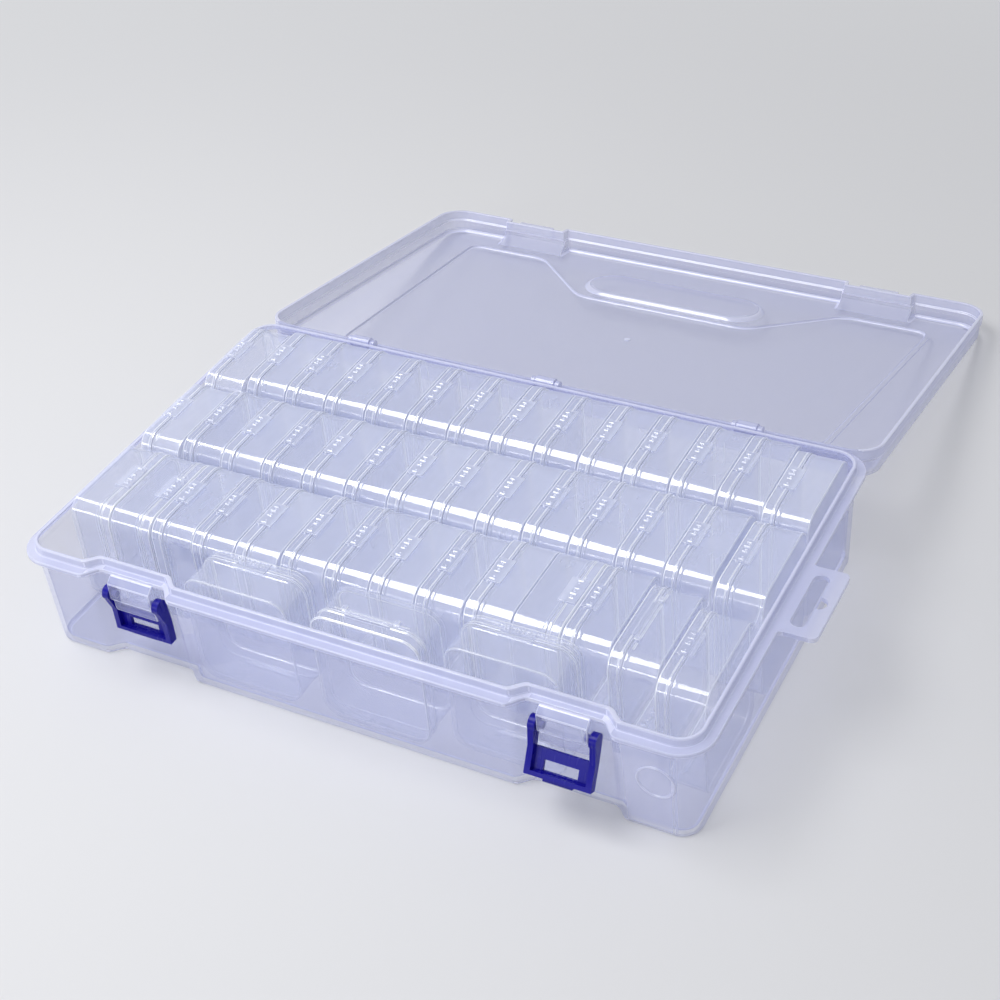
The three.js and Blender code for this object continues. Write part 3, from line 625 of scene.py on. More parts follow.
def makeTray():
    t = tray
    piece = trayShell()
    lugs = [lugPiece(side * t["bayCentre"]) for side in (-1, 1)]
    carve(piece, [tabPiece(), markPiece()] + lugs, "UNION")
    hinges = [trayHinge(x) for x in hinge["places"]]
    bores = lugBores(-t["bayCentre"]) + lugBores(t["bayCentre"])
    carve(piece, bores + [notch for notch, _ in hinges], "DIFFERENCE")
    carve(piece, [ear for _, ears in hinges for ear in ears], "UNION")
    markRims(piece, t["rimWidth"])
    markRoom = mark["radius"] + mark["line"] + mark["rimRoom"]
    # the slopes, flange, ring and lugs are held paler and the hinge dimmer: a painted highlight and glow
    # on denser haze
    holdRims(piece, t["slantRims"], lambda at, normal: t["slantFrom"] < abs(normal.z) < t["slantTo"])
    holdRims(piece, t["flangeRims"], lambda at, normal: at.z > flangeBottom - t["rimSlack"])
    holdRims(piece, mark["rims"],
             lambda at, normal: math.hypot(at.x - mark["x"], at.z - mark["height"]) < markRoom)
    holdRims(piece, hinge["rims"], lambda at, normal: at.y > hingeNotchY)
    return holdRims(piece, lug["rims"], lambda at, normal: at.y < bayWallY - lug["rimDepth"]
                    and at.z < flangeBottom and latchBayOff(at) < lug["halfWidth"] + lug["rimSide"])


handOver(makeTray(), "case_base", "casePlastic", "case_base")
print("tray ready")

# lid, built shut in the tray's own place

lid = {
    "rimGap": 0.3, "edgeInset": 0.5, "wall": 1.6, "skirt": 13, "bandHeight": 5, "bandProud": 0.8,
    "topRounding": 2.35, "flatRun": 1, "kinkRounding": 0.01, "insideRounding": 0.3, "bandRounding": 0.35,
    "notchHalfWidth": 15.5, "notchRun": 1.2, "notchReach": 0.1, "notchHeight": 7.9, "notchTopLean": 6.9,
    "notchTopRise": 5, "edge": 0.45,
    "rimWidth": 0.75, "slantFrom": 0.15, "slantTo": 0.97,
    "topDepth": 5, "notchSlack": 0.5, "flatFrom": 0.9,
    "skirtRims": (0.25, 1), "bandRims": (0.45, 1), "topRims": (0.85, 1), "notchRims": (0, 0.35),
}
rimZ = tray["flangeTop"] + lid["rimGap"]
lidTop = rimZ + lid["skirt"]
lidHalfLength = tray["length"] / 2 - lid["edgeInset"]
lidHalfDepth = tray["depth"] / 2 - lid["edgeInset"]
notchY = latchY + lid["notchReach"]
notchLean = math.atan2(lid["notchTopLean"], lid["notchTopRise"])


def notchKink(inner):
    # height at which a notch starts to lean back, on the lid's outer or inner face
    return rimZ + lid["notchHeight"] - (lid["wall"] * math.tan(notchLean / 2) if inner else 0)


def lidRing(inset, z, inner):
    notch = notchY + (lid["wall"] if inner else 0) + max(z - notchKink(inner), 0) * math.tan(notchLean)
    return level(caseOutline(
        lidHalfLength - inset, lidHalfDepth - inset, tray["flangeCorner"] - lid["edgeInset"] - inset,
        lid["notchHalfWidth"] + inset, lid["notchRun"], notch + lidHalfDepth - inset), z)


def lidShell():
    d = lid
    bandTop, bandMiddle, innerTop = rimZ + d["bandHeight"], rimZ + d["bandHeight"] / 2, lidTop - d["wall"]
    shelf, skin = d["bandProud"] / 2, d["bandProud"] + d["wall"]
    inside = roundPath([
        (skin + d["topRounding"] + d["flatRun"], innerTop, 0),
        (skin, innerTop, d["topRounding"] - d["wall"] / 2),
        (skin, notchKink(True), d["kinkRounding"]),
        (skin, bandTop, d["insideRounding"]),
        (d["wall"], bandTop - shelf, d["insideRounding"]),
        (d["wall"], bandMiddle, 0),
    ])
    rim = roundPath([
        (d["wall"], bandMiddle, 0),
        (d["wall"], rimZ, d["edge"]),
        (0, rimZ, d["edge"]),
        (0, bandMiddle, 0),
    ])
    outside = roundPath([
        (0, bandMiddle, 0),
        (0, bandTop, d["bandRounding"]),
        (d["bandProud"], bandTop + shelf, d["bandRounding"]),
        (d["bandProud"], notchKink(False), d["kinkRounding"]),
        (d["bandProud"], lidTop, d["topRounding"]),
        (d["bandProud"] + d["topRounding"] + d["flatRun"], lidTop, 0),
    ])
    rings = [lidRing(inset, z, True) for inset, z in inside]
    for inset, z in rim[1:-1]:
        # the rim's turn runs from the skirt's inner face to its outer one
        share = inset / d["wall"]
        pairs = zip(lidRing(inset, z, False), lidRing(inset, z, True))
        rings.append([tuple(b + (a - b) * share for b, a in zip(*pair)) for pair in pairs])
    rings += [lidRing(inset, z, False) for inset, z in outside]
    return loft("caseLid", rings)


panel = {
    "rise": 1.2, "corner": 7, "cornerSteps": 8, "nearMargin": 20, "farMargin": 17, "sideMargin": 22,
    "sideSplay": 6, "bayOuterHalf": 82, "bayInnerHalf": 44, "bayDepth": 39, "edge": 0.6, "edgeSteps": 4,
}
grip = {
    "halfLength": 48, "halfWidth": 14, "centreFromPanel": 22.5, "depth": 1.8, "slope": 5, "endSteps": 16,
    "profileShares": ((0, 0), (0.35, 0.06), (0.65, 0.3), (0.85, 0.62), (1, 1)),
    "rims": (0.5, 1), "rimRoom": 2, "flatFrom": 0.995,
}
gripY = -lidHalfDepth + panel["farMargin"] + grip["centreFromPanel"]
gate = {
    "y": 4.1, "radius": 1.6, "height": 0.5, "edge": 0.2, "softAngle": 50, "sides": 24,
    "rims": (1, 1), "rimRoom": 0.3,
}
catchBlock = {"halfWidth": 10, "height": 7.6, "proud": 2.1, "topLean": 0.5, "edge": 0.35, "softAngle": 20}


def panelOutline(inset):
    p = panel
    far = -lidHalfDepth + p["farMargin"] + inset
    near = lidHalfDepth - p["nearMargin"] - inset
    side = lidHalfLength - p["sideMargin"] - inset
    return roundCorners([
        (-side, far), (-p["bayOuterHalf"] - inset, far), (-p["bayInnerHalf"] - inset, far + p["bayDepth"]),
        (p["bayInnerHalf"] + inset, far + p["bayDepth"]), (p["bayOuterHalf"] + inset, far), (side, far),
        (side - p["sideSplay"], near), (-side + p["sideSplay"], near),
    ], p["corner"], p["cornerSteps"])


def softPrism(name, outlineAt, low, high):
    # prism with its upper edge rounded; outlineAt gives its outline at an inset
    edge, steps = panel["edge"], panel["edgeSteps"]
    rings = [level(outlineAt(0), low)]
    for i in range(steps + 1):
        a = math.pi / 2 * i / steps
        rings.append(level(outlineAt(edge * (1 - math.cos(a))), high - edge * (1 - math.sin(a))))
    return loft(name, rings)


def gripDish(name, grow, floorZ, mouthZ):
    rings = []
    for acrossShare, heightShare in grip["profileShares"]:
        cut = grip["slope"] * (1 - acrossShare)
        halfLength, halfWidth = grip["halfLength"] - cut + grow, grip["halfWidth"] - cut / 2 + grow
        z = floorZ + (mouthZ - floorZ) * heightShare
        rings.append([(x, y + gripY, z) for x, y in stadium(halfLength, halfWidth, grip["endSteps"])])
    return loft(name, rings)


def lidHinge(x):
    h = hinge
    bore = h["ringHalfWidth"] + h["sideGap"]
    start, end = h["ringHalfWidth"] + h["sideGap"] / 2, bore + h["earThickness"] + h["sideGap"] / 2
    room, half = h["earRadius"] + h["earRoom"], h["ringHalfWidth"]
    ring = barAlongX("ring", h["ringRadius"], x - half, x + half, hingeY, hingeZ)
    return ring, [barAlongX("bore", h["boreRadius"], x - bore, x + bore, hingeY, hingeZ)] + [
        barAlongX("room", room, *sideSpan(side, start, end, x), hingeY, hingeZ) for side in (-1, 1)
    ]


def catchPiece(centre):
    c = catchBlock
    embed, face, low, top = notchY + lid["wall"] / 2, notchY - c["proud"], rimZ + hair, rimZ + c["height"]
    lean = c["topLean"]
    profile = [(embed, low), (embed, top), (face + lean, top), (face, top - lean), (face, low)]
    piece = alongX("catch", profile, centre - c["halfWidth"], centre + c["halfWidth"])
    return soften(piece, c["edge"], c["softAngle"])


def lidPanelParts(innerTop):
    # what is added, cut, added and cut again for the raised panel and its grip
    gripFloor, middle = lidTop - grip["depth"], lidTop - lid["wall"] / 2
    pad = softPrism("pad", panelOutline, middle, lidTop + panel["rise"])
    pocket = softPrism("pocket", lambda inset: panelOutline(lid["wall"] + inset),
                       innerTop - overrun, innerTop + panel["rise"])
    dishSkin = gripDish("dishSkin", lid["wall"] / 2, gripFloor - lid["wall"], middle)
    dish = gripDish("dish", 0, gripFloor, lidTop + 2 * hair)
    mouth = gripDish("mouth", grip["slope"], lidTop, lidTop + overrun)
    return [pad], [pocket], [dishSkin], [dish, mouth]


def gatePiece(innerTop):
    circle = arcPoints(0, gate["y"], gate["radius"], 0, math.tau, gate["sides"])[:-1]
    low = innerTop - gate["height"] + panel["rise"] - 2 * hair
    return soften(prism("gate", circle, low, lidTop), gate["edge"], gate["softAngle"])


def makeLid():
    d = lid
    innerTop = lidTop - d["wall"]
    piece = lidShell()
    for tools, operation in zip(lidPanelParts(innerTop), ("UNION", "DIFFERENCE", "UNION", "DIFFERENCE")):
        carve(piece, tools, operation)
    hinges = [lidHinge(x) for x in hinge["places"]]
    catches = [catchPiece(side * tray["bayCentre"]) for side in (-1, 1)]
    carve(piece, [gatePiece(innerTop)] + catches + [ring for ring, _ in hinges], "UNION")
    carve(piece, [cut for _, cuts in hinges for cut in cuts], "DIFFERENCE")
    markRims(piece, d["rimWidth"])
    notchEnd = notchY + d["notchTopLean"] + d["wall"] + d["notchSlack"]
    # skirt, band, top edge, gate and grip are held paler and the notch and hinge dimmer: a painted
    # highlight and glow on denser haze
    holdRims(piece, d["skirtRims"], lambda at, normal: at.z < lidTop - d["topRounding"])
    holdRims(piece, d["bandRims"], lambda at, normal: at.z < rimZ + d["bandHeight"])
    holdRims(piece, d["topRims"], lambda at, normal: at.z > lidTop - d["topDepth"]
             and d["slantFrom"] < abs(normal.z) < d["slantTo"])
    holdRims(piece, hinge["rims"], lambda at, normal: at.y > hingeY - hinge["ringRadius"]
             and at.z < rimZ + hinge["ringRadius"])
    holdRims(piece, d["notchRims"], lambda at, normal: at.y < notchEnd and at.z > rimZ + d["bandHeight"]
             and normal.z < d["flatFrom"] and latchBayOff(at) < d["notchHalfWidth"])
    holdRims(piece, gate["rims"],
             lambda at, normal: math.hypot(at.x, at.y - gate["y"]) < gate["radius"] + gate["rimRoom"])
    holdRims(piece, grip["rims"], lambda at, normal: abs(normal.z) < grip["flatFrom"]
             and abs(at.y - gripY) < grip["halfWidth"] + grip["rimRoom"]
             and abs(at.x) < grip["halfLength"] + grip["rimRoom"])
    # thrown back from shut to its rest
    axis = Matrix.Translation((0, hingeY * mm, hingeZ * mm))
    opened = Matrix.Rotation(-math.radians(joints["lid_hinge"]["range_deg"][1]), 4, "X")
    return turned(piece, axis @ opened @ axis.inverted())


handOver(makeLid(), "case_lid", "casePlastic", "case_lid")
print("lid ready")

# latches, built hanging from a pivot at the origin


def makeLatch(name, body, side):
    g = latch
    sideStart, earStart = lug["halfWidth"] + g["sideGap"], lug["halfWidth"] + g["earGap"]
    seat, back = g["plateSeat"], g["plateSeat"] + g["plateThickness"]
    length, start = -g["length"], -g["plateStart"]
    cheek = arcPoints(0, 0, g["earRadius"], 0, math.pi, g["cheekSteps"]) + [
        (g["hookSeat"], start), (g["hookSeat"], length), (back, length), (back, start),
    ]
    full = (-g["halfWidth"], g["halfWidth"])
    piece = block(name, full, (seat, back), (length, start))
    parts = [
        block("hook", full, (g["hookSeat"], back), (length, length + g["hookThickness"])),
        block("finger", (-g["fingerHalfWidth"], g["fingerHalfWidth"]), (seat / 2, back),
              (length - g["fingerReach"], length + g["hookThickness"] / 2)),
    ]
    bossSpan = (earStart - g["bossLength"], g["halfWidth"] - g["bossInset"])
    for end in (-1, 1):
        earSpan = sideSpan(end, earStart, g["halfWidth"])
        parts += [
            alongX("cheek", cheek, *sideSpan(end, sideStart, g["halfWidth"])),
            barAlongX("ear", g["earRadius"], *earSpan, 0, 0, g["earSides"]),
            barAlongX("boss", g["bossRadius"], *sideSpan(end, *bossSpan), 0, 0, g["bossSides"]),
        ]
    carve(piece, parts, "UNION")
    window = block("window", (-g["windowHalfWidth"], g["windowHalfWidth"]),
                   (seat - overrun, back + overrun), (-g["windowEnd"], -g["windowStart"]))
    carve(piece, [window], "DIFFERENCE")
    soften(piece, g["edge"], g["softAngle"], g["softSegments"])
    # its edges take the paler Rim Colour, a painted highlight
    markRims(piece, g["rimWidth"])
    # its range starts where it hangs straight down
    place = Matrix.Translation((side * tray["bayCentre"] * mm, latchY * mm, latchZ * mm))
    tilt = Matrix.Rotation(math.radians(joints[body + "_pivot"]["range_deg"][0]), 4, "X")
    return turned(piece, place @ tilt)


for name, body, side in (("latchLeft", "latch_left", -1), ("latchRight", "latch_right", 1)):
    handOver(makeLatch(name, body, side), body, "latchPlastic", body)
print("latches ready")

# small boxes, built lying on their backs: X across, Y towards the clasp, Z from container to lid

box = {
    "width": 48.8, "height": 53.2, "thickness": 20, "corner": 8, "cornerSteps": 12, "wall": 1.1,
    "flatRun": 3, "footRounding": 0.6, "floorRounding": 0.9,
    "beadLow": 1.7, "beadHigh": 1.3, "beadStep": 0.25,
    "lidDepth": 5.6, "lidWall": 1, "lidOverlap": 0.4, "partingGap": 0.3, "bandLow": 1.2, "bandHigh": 1.5,
    "bandStep": 0.22, "stepRounding": 0.2, "topRounding": 0.7, "ceilingRounding": 0.8, "edge": 0.3,
    "claspWidth": 14, "claspProud": 0.7, "claspReach": 2.2, "claspSetback": 0.8,
    "ribProud": 0.5, "ribCount": 4, "ribRadius": 0.6, "ribLength": 2.4, "ribSink": 0.14,
    "beadRadius": 0.62, "ribStray": 0.7, "ribSeed": 5, "fineEdge": 0.22, "softAngle": 40,
    "hingeProud": 1.1, "tongueHalfWidth": 10, "tongueReach": 1.4, "tongueRoot": 1.6,
    "pinRadius": 0.4, "pinLength": 2, "pinRoom": 0.3, "pinSetback": 0.5, "pinSides": 12, "boreSides": 14,
    "boreOverrun": 0.1, "earThickness": 2.2, "earReach": 2.6, "footZ": 2.1,
    "rimWidth": 0.5, "ribRimWidth": 0.1, "slantFrom": 0.2, "slantTo": 0.96,
    "containerRims": (0.12, 0.4), "lidRims": (0.15, 0.5), "claspRims": (0, 0.25), "ribRims": (0.25, 0.25),
}
boxTop = box["height"] / 2
containerDepth = box["thickness"] - box["lidDepth"] - box["partingGap"]
lidMouth = containerDepth + box["partingGap"]
pinY = -boxTop - (box["hingeProud"] - box["pinRoom"]) / 2 + box["pinRoom"]
pinZ = containerDepth - box["pinSetback"]


def boxRing(inset, z):
    halfX, halfY = box["width"] / 2 - inset, box["height"] / 2 - inset
    return level(sum(cornerArcs(halfX, halfY, box["corner"] - inset, box["cornerSteps"]), []), z)


def containerShell():
    b = box
    out, rimIn = b["lidOverlap"], b["lidOverlap"] + b["wall"]
    path = roundPath([
        (out + b["flatRun"], 0, 0), (out, 0, b["footRounding"]),
        (out + b["beadStep"], containerDepth - b["beadLow"], b["stepRounding"]),
        (out, containerDepth - b["beadHigh"], b["stepRounding"]),
        (out, containerDepth, b["edge"]), (rimIn, containerDepth, b["edge"]),
        (rimIn, b["wall"], b["floorRounding"]), (rimIn + b["flatRun"], b["wall"], 0),
    ])
    return loft("container", [boxRing(inset, z) for inset, z in path])


def lidCap():
    b = box
    top, wall, step = b["thickness"], b["lidWall"], b["bandStep"]
    path = roundPath([
        (wall + b["flatRun"], top - wall, 0), (wall, top - wall, b["ceilingRounding"]),
        (wall, lidMouth, b["edge"]), (0, lidMouth, b["edge"]),
        (0, lidMouth + b["bandLow"], b["stepRounding"]),
        (step, lidMouth + b["bandHigh"], b["stepRounding"]),
        (step, top, b["topRounding"]), (step + b["flatRun"], top, 0),
    ])
    return loft("boxLid", [boxRing(inset, z) for inset, z in path])


# the ribs and beads of a clasp
ribShape = {
    "ribSides": 10, "beadFineness": 2, "leastSize": 0.55, "mostSize": 1.0,
    "ribStart": 0.5, "beadStart": 1.0,
}


def claspRibTree():
    # ribs and beads moulded across a clasp, from named sizes and a fixed seed
    tree = bpy.data.node_groups.new("claspRibs", "GeometryNodeTree")
    tree.is_modifier = True
    addSockets(tree, "INPUT", {
        "Geometry": ["Geometry"], "Int": ("Rib Count", "Seed"), "Material": ["Material"],
        "Float": ("Rib Pitch", "Rib Radius", "Rib Length", "Bead Radius", "Stray"),
    })
    addSockets(tree, "OUTPUT", {"Geometry": ["Geometry"]})
    given = addNode(tree, "NodeGroupInput").outputs

    def strayedRow(startShare, seedShift):
        # centred row of points; each strays along and across it
        first = mathNode(tree, "MULTIPLY_ADD", given["Rib Count"], -0.5, startShare)
        reach = mathNode(tree, "MULTIPLY", first, given["Rib Pitch"])
        start = addNode(tree, "ShaderNodeCombineXYZ", {0: reach})
        step = addNode(tree, "ShaderNodeCombineXYZ", {0: given["Rib Pitch"]})
        row = addNode(tree, "GeometryNodeMeshLine", {
            "Count": given["Rib Count"], "Start Location": start.outputs[0], "Offset": step.outputs[0]})
        shift = addNode(tree, "FunctionNodeRandomValue", {
            0: (-1, 0, -1), 1: (1, 0, 1), "Seed": mathNode(tree, "ADD", given["Seed"], seedShift),
        }, data_type="FLOAT_VECTOR")
        stray = addNode(tree, "ShaderNodeVectorMath", {
            0: shift.outputs[0], "Scale": given["Stray"]}, operation="SCALE")
        return addNode(tree, "GeometryNodeSetPosition", {
            "Geometry": row.outputs[0], "Offset": stray.outputs[0]}).outputs[0]

    rib = addNode(tree, "GeometryNodeMeshCylinder", {
        "Vertices": ribShape["ribSides"], "Radius": given["Rib Radius"], "Depth": given["Rib Length"]})
    bead = addNode(tree, "GeometryNodeMeshIcoSphere", {
        "Subdivisions": ribShape["beadFineness"], "Radius": given["Bead Radius"]})
    size = addNode(tree, "FunctionNodeRandomValue", {
        2: ribShape["leastSize"], 3: ribShape["mostSize"], "Seed": given["Seed"],
    }, data_type="FLOAT").outputs[1]
    both = addNode(tree, "GeometryNodeJoinGeometry")
    for shape, startShare, seedShift in ((rib, ribShape["ribStart"], 1), (bead, ribShape["beadStart"], 2)):
        placed = addNode(tree, "GeometryNodeInstanceOnPoints", {
            "Points": strayedRow(startShare, seedShift), "Instance": shape.outputs[0], "Scale": size})
        tree.links.new(placed.outputs[0], both.inputs[0])
    real = addNode(tree, "GeometryNodeRealizeInstances", {0: both.outputs[0]})
    painted = addNode(tree, "GeometryNodeSetMaterial", {
        "Geometry": real.outputs[0], "Material": given["Material"]})
    addNode(tree, "NodeGroupOutput", {0: painted.outputs[0]})
    return tree


def runTree(name, tree, values):
    piece = newObject(name, bpy.data.meshes.new(name))
    modifier = piece.modifiers.new("make", "NODES")
    modifier.node_group = tree
    for item in tree.interface.items_tree:
        if item.in_out == "INPUT" and item.name in values:
            modifier[item.identifier] = values[item.name]
    return bake(piece)


def claspPieces():
    b = box
    half, face = b["claspWidth"] / 2, boxTop + b["claspProud"]
    root = block("claspRoot", (-half, half), (boxTop - b["lidWall"] / 2, face),
                 (lidMouth, b["thickness"] - b["claspSetback"]))
    tongue = block("claspTongue", (-half, half), (boxTop - b["lidOverlap"] + b["partingGap"], face),
                   (containerDepth - b["claspReach"], lidMouth + b["claspSetback"]))
    clasp = soften(carve(root, [tongue], "UNION"), b["fineEdge"], b["softAngle"])
    ribs = runTree("ribs", claspRibTree(), {
        "Rib Count": b["ribCount"], "Rib Pitch": b["claspWidth"] / b["ribCount"] * mm,
        "Rib Radius": b["ribRadius"] * mm, "Rib Length": b["ribLength"] * mm,
        "Bead Radius": b["beadRadius"] * mm, "Stray": b["ribStray"] * mm, "Seed": b["ribSeed"],
        "Material": materials["boxPlastic"],
    })
    ribZ = (lidMouth + b["thickness"] - b["claspSetback"] * 2) / 2
    return clasp, turned(ribs, Matrix.Translation((0, (face - b["ribSink"]) * mm, ribZ * mm)))


def boxHingeEars():
    b = box
    start = b["tongueHalfWidth"] + b["partingGap"]
    depth = (-boxTop - b["hingeProud"], -boxTop + b["lidOverlap"] + b["wall"] / 2)
    ears, bores = [], []
    for side in (-1, 1):
        x0, x1 = sideSpan(side, start, start + b["earThickness"])
        ear = block("ear", (x0, x1), depth, (containerDepth - b["earReach"], containerDepth))
        ears.append(soften(ear, b["fineEdge"], b["softAngle"]))
        bores.append(barAlongX("bore", b["pinRadius"] + b["pinRoom"], x0 - b["boreOverrun"],
                               x1 + b["boreOverrun"], pinY, pinZ, b["boreSides"]))
    return ears, bores


def boxTongue():
    b = box
    span, back = (-b["tongueHalfWidth"], b["tongueHalfWidth"]), -boxTop - b["hingeProud"]
    root = block("tongueRoot", span, (back, -boxTop + b["lidWall"] / 2),
                 (lidMouth, lidMouth + b["tongueRoot"]))
    tongue = block("tongue", span, (back, -boxTop + b["lidOverlap"] - b["partingGap"]),
                   (containerDepth - b["tongueReach"], lidMouth + b["tongueRoot"] / 2))
    tongue = soften(carve(root, [tongue], "UNION"), b["fineEdge"], b["softAngle"])
    reach = b["tongueHalfWidth"] + b["pinLength"]
    return tongue, barAlongX("pin", b["pinRadius"], -reach, reach, pinY, pinZ, b["pinSides"])


def slantsInBox(at, normal):
    return box["slantFrom"] < abs(normal.z) < box["slantTo"]


def makeContainer():
    ears, bores = boxHingeEars()
    piece = containerShell()
    carve(piece, ears, "UNION")
    carve(piece, bores, "DIFFERENCE")
    # rounded corners are held paler: a painted highlight on denser haze
    return holdRims(markRims(piece, box["rimWidth"]), box["containerRims"], slantsInBox)


def makeBoxLid():
    piece = lidCap()
    clasp, ribs = claspPieces()
    carve(piece, [clasp, *boxTongue()], "UNION")
    markRims(piece, box["rimWidth"])
    # rounded corners are held paler, the clasp dimmer and the ribs evenly pale: a painted highlight on
    # denser haze
    holdRims(piece, box["lidRims"], slantsInBox)
    holdRims(piece, box["claspRims"], lambda at, normal: abs(at.y) > boxTop)
    holdRims(markRims(ribs, box["ribRimWidth"]), box["ribRims"], lambda at, normal: True)
    return merge("boxLid", [piece, ribs])


containerModel, boxLidModel = makeContainer(), makeBoxLid()
containerMesh, boxLidMesh = containerModel.data, boxLidModel.data
shutModel = merge("shutBox", [containerModel, boxLidModel])
shutBoxMesh = shutModel.data
bpy.data.objects.remove(shutModel)

layout = {
    "lidOnRight": {"front_box_1", "front_box_2", "front_box_11"},
    "turnedOver": {"front_box_13", "cross_box_2"},
    "loose": {"front_box_12", "front_box_13", "front_box_14", "cross_box_1", "cross_box_2", "cross_box_3"},
    "crossFacing": {"cross_box_1": 90, "cross_box_2": -90, "cross_box_3": 90},
    "toneSpread": 0.12, "looseTone": -0.35, "seed": 21,
}


def boxPlace(name, low, high):
    over = name in layout["turnedOver"]
    flip = -1 if over else 1
    lift = box["claspProud"] + box["ribProud"] if over else box["hingeProud"]
    facing = layout["crossFacing"].get(name, 0 if name in layout["lidOnRight"] else 180)
    z = (box["footZ"] + boxTop + lift) * mm
    centre = Matrix.Translation(((low.x + high.x) / 2, (low.y + high.y) / 2, z))
    upright = Matrix(((0, 0, 1, 0), (flip, 0, 0, 0), (0, flip, 0, 0), (0, 0, 0, 1)))
    return (centre @ Matrix.Rotation(math.radians(facing), 4, "Z") @ upright
            @ Matrix.Translation((0, 0, -box["thickness"] / 2 * mm)))


def copyOf(name, mesh, matrix):
    piece = newObject(name, mesh.copy())
    piece.data.name = name
    piece.visible_shadow = False  # clear thin walls: the case and its lid throw the shadow
    return turned(piece, matrix)


spread = random.Random(layout["seed"])
boxNames = sorted(body for body in frame["bodies"] if "_box_" in body)
for name in boxNames:
    nodes = [name + "_container", name + "_lid"] if name in layout["loose"] else [name]
    corners = [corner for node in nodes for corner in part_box(node)]
    low = Vector([min(c[k] for c in corners) for k in range(3)])
    high = Vector([max(c[k] for c in corners) for k in range(3)])
    place = boxPlace(name, low, high)
    words = name.split("_")
    title = words[0] + "Box" + words[2]
    tone = spread.uniform(-1, 1) * layout["toneSpread"]
    if name in layout["loose"]:
        # these stand before few others, so more shows through them
        tone += layout["looseTone"]
        parts = (("Container", containerMesh), ("Lid", boxLidMesh))
    else:
        parts = (("", shutBoxMesh),)
    for (part, mesh), node in zip(parts, nodes):
        handOver(copyOf(title + part, mesh, place), name, "boxPlastic", node, tone=tone)
print("small boxes ready:", len(boxNames))

# floor, lamps, world and camera

studio = {
    "floorHalf": 14.0, "floorColour": (0.77, 0.77, 0.78), "floorShade": (0.985, 0.985, 0.99),
    "floorMottle": (3.0, 2.0), "floorShader": {"Roughness": 0.75, "Specular IOR Level": 0.2},
    "worldColour": (0.93, 0.95, 1.0, 1), "worldStrength": 0.39,
    "backdrop": (0.74, 0.75, 0.77, 1), "fadeFrom": 0.3, "fadeTo": 1.2,
    # each lamp: place, aim, width, height, radiance
    "lamps": {
        "overhead": ((-0.48, -0.27, 1.14), (0.0, 0.0, 0.05), 0.95, 0.52, 6.9),
        "lowFront": ((-0.62, -1.15, 0.30), (-0.05, 0.0, 0.04), 0.95, 0.16, 6.4),
        "rightFill": ((1.3, -0.5, 1.1), (0.0, 0.0, 0.05), 0.9, 0.6, 0.9),
    },
    "bounces": {
        "transparent_max_bounces": 48, "max_bounces": 4, "diffuse_bounces": 2, "glossy_bounces": 2},
}


def seenRays(tree):
    # 1 for rays that show the background: straight, mirrored or through
    path = addNode(tree, "ShaderNodeLightPath").outputs
    seen = mathNode(tree, "MAXIMUM", path["Is Camera Ray"], path["Is Glossy Ray"])
    return mathNode(tree, "MAXIMUM", seen, path["Is Transmission Ray"])


def blendShaders(tree, share, near, far, target):
    blend = addNode(tree, "ShaderNodeMixShader", {0: share, 1: near.outputs[0], 2: far.outputs[0]})
    feed(tree, target.inputs["Surface"], blend.outputs[0])


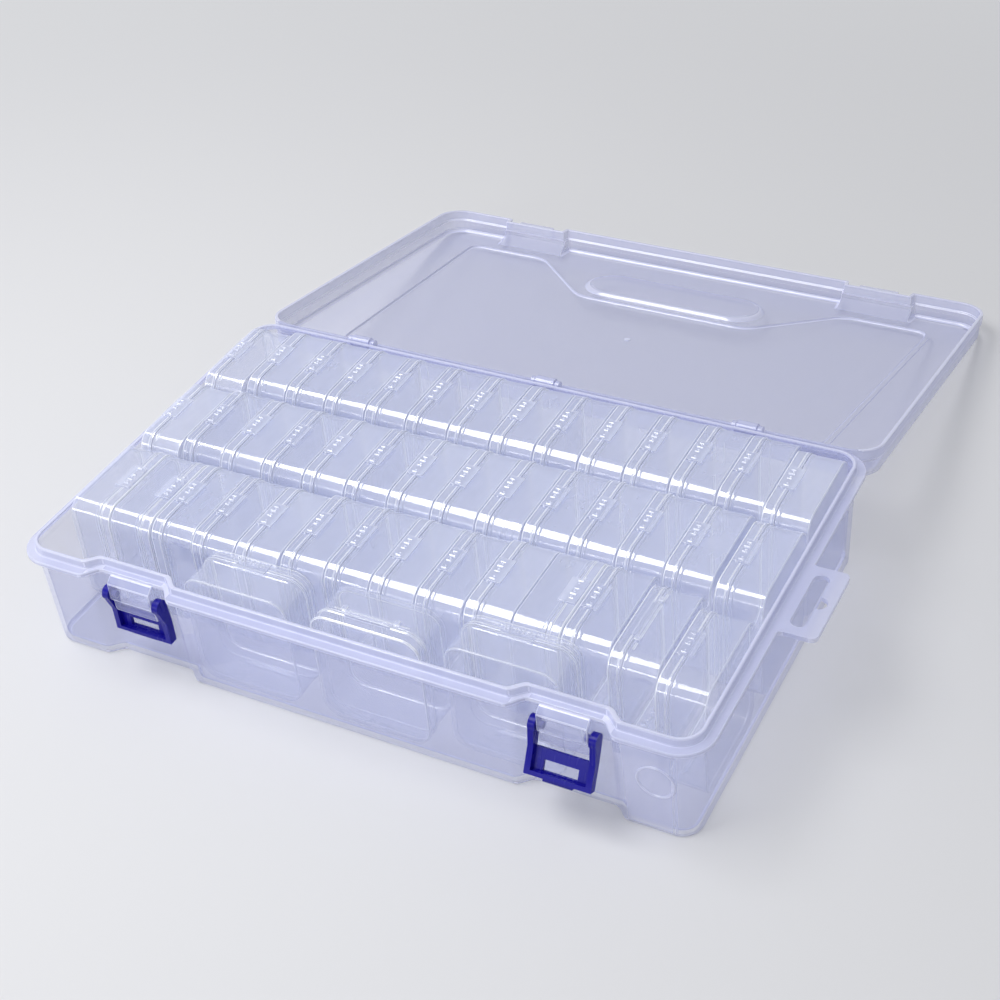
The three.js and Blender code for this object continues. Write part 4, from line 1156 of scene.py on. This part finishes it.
def makeFloor():
    half, colour = studio["floorHalf"], studio["floorColour"]
    corners = [(-half, -half, 0), (half, -half, 0), (half, half, 0), (-half, half, 0)]
    floor = meshPiece("floor", corners, [(0, 1, 2, 3)])
    material = bpy.data.materials.new("paleFloor")
    material.use_nodes = True
    tree = material.node_tree
    place = addNode(tree, "ShaderNodeTexCoord").outputs["Object"]
    shade = tuple(part * c for part, c in zip(studio["floorShade"], colour))
    surface = tree.nodes["Principled BSDF"]
    mottle = mixColour(tree, noise(tree, place, *studio["floorMottle"]), (*shade, 1), (*colour, 1))
    for socket, value in (("Base Color", mottle), *studio["floorShader"].items()):
        feed(tree, surface.inputs[socket], value)
    away = addNode(tree, "ShaderNodeVectorMath", {0: place}, operation="LENGTH").outputs["Value"]
    fade = addNode(tree, "ShaderNodeMapRange", {
        "Value": away, "From Min": studio["fadeFrom"], "From Max": studio["fadeTo"],
    }, interpolation_type="SMOOTHSTEP").outputs["Result"]
    glow = addNode(tree, "ShaderNodeEmission", {"Color": studio["backdrop"]})
    share = mathNode(tree, "MULTIPLY", fade, seenRays(tree))
    blendShaders(tree, share, surface, glow, tree.nodes["Material Output"])
    floor.data.materials.append(material)


def makeLamps():
    for name, (place, aim, width, height, radiance) in studio["lamps"].items():
        lamp = bpy.data.lights.new(name, "AREA")
        lamp.shape = "RECTANGLE"
        lamp.size, lamp.size_y = width, height
        lamp.energy = radiance * math.pi * width * height
        holder = newObject(name, lamp)
        holder.location = place
        holder.rotation_euler = (Vector(place) - Vector(aim)).to_track_quat("Z", "Y").to_euler()
        holder.visible_camera = False


def makeWorld():
    world = bpy.data.worlds.new("studio")
    bpy.context.scene.world = world
    world.use_nodes = True
    tree = world.node_tree
    light = tree.nodes["Background"]
    light.inputs["Color"].default_value = studio["worldColour"]
    light.inputs["Strength"].default_value = studio["worldStrength"]
    backdrop = addNode(tree, "ShaderNodeBackground", {"Color": studio["backdrop"], "Strength": 1.0})
    blendShaders(tree, seenRays(tree), light, backdrop, tree.nodes["World Output"])


view = {
    "place": (0.32185, -0.50060, 0.51094), "azimuth": 30.578, "elevation": 37.851, "roll": -5.637,
    "lens": 66.3, "sensor": 36, "clip": (0.02, 60),
}


def makeCamera():
    azimuth, elevation, roll = (math.radians(view[k]) for k in ("azimuth", "elevation", "roll"))
    flatAhead = Vector((-math.sin(azimuth), math.cos(azimuth), 0))
    ahead = flatAhead * math.cos(elevation) - Vector((0, 0, math.sin(elevation)))
    right = Vector((math.cos(azimuth), math.sin(azimuth), 0))
    up = right.cross(ahead)
    x = right * math.cos(roll) + up * math.sin(roll)
    y = up * math.cos(roll) - right * math.sin(roll)
    data = bpy.data.cameras.new("camera")
    data.lens, data.sensor_width = view["lens"], view["sensor"]
    data.clip_start, data.clip_end = view["clip"]
    camera = newObject("camera", data)
    camera.matrix_world = Matrix.Translation(view["place"]) @ Matrix((x, y, -ahead)).transposed().to_4x4()
    bpy.context.scene.camera = camera


makeFloor()
makeLamps()
makeWorld()
makeCamera()
bpy.context.scene.view_settings.view_transform = "Standard"
for setting, count in studio["bounces"].items():
    setattr(bpy.context.scene.cycles, setting, count)
print("studio ready")
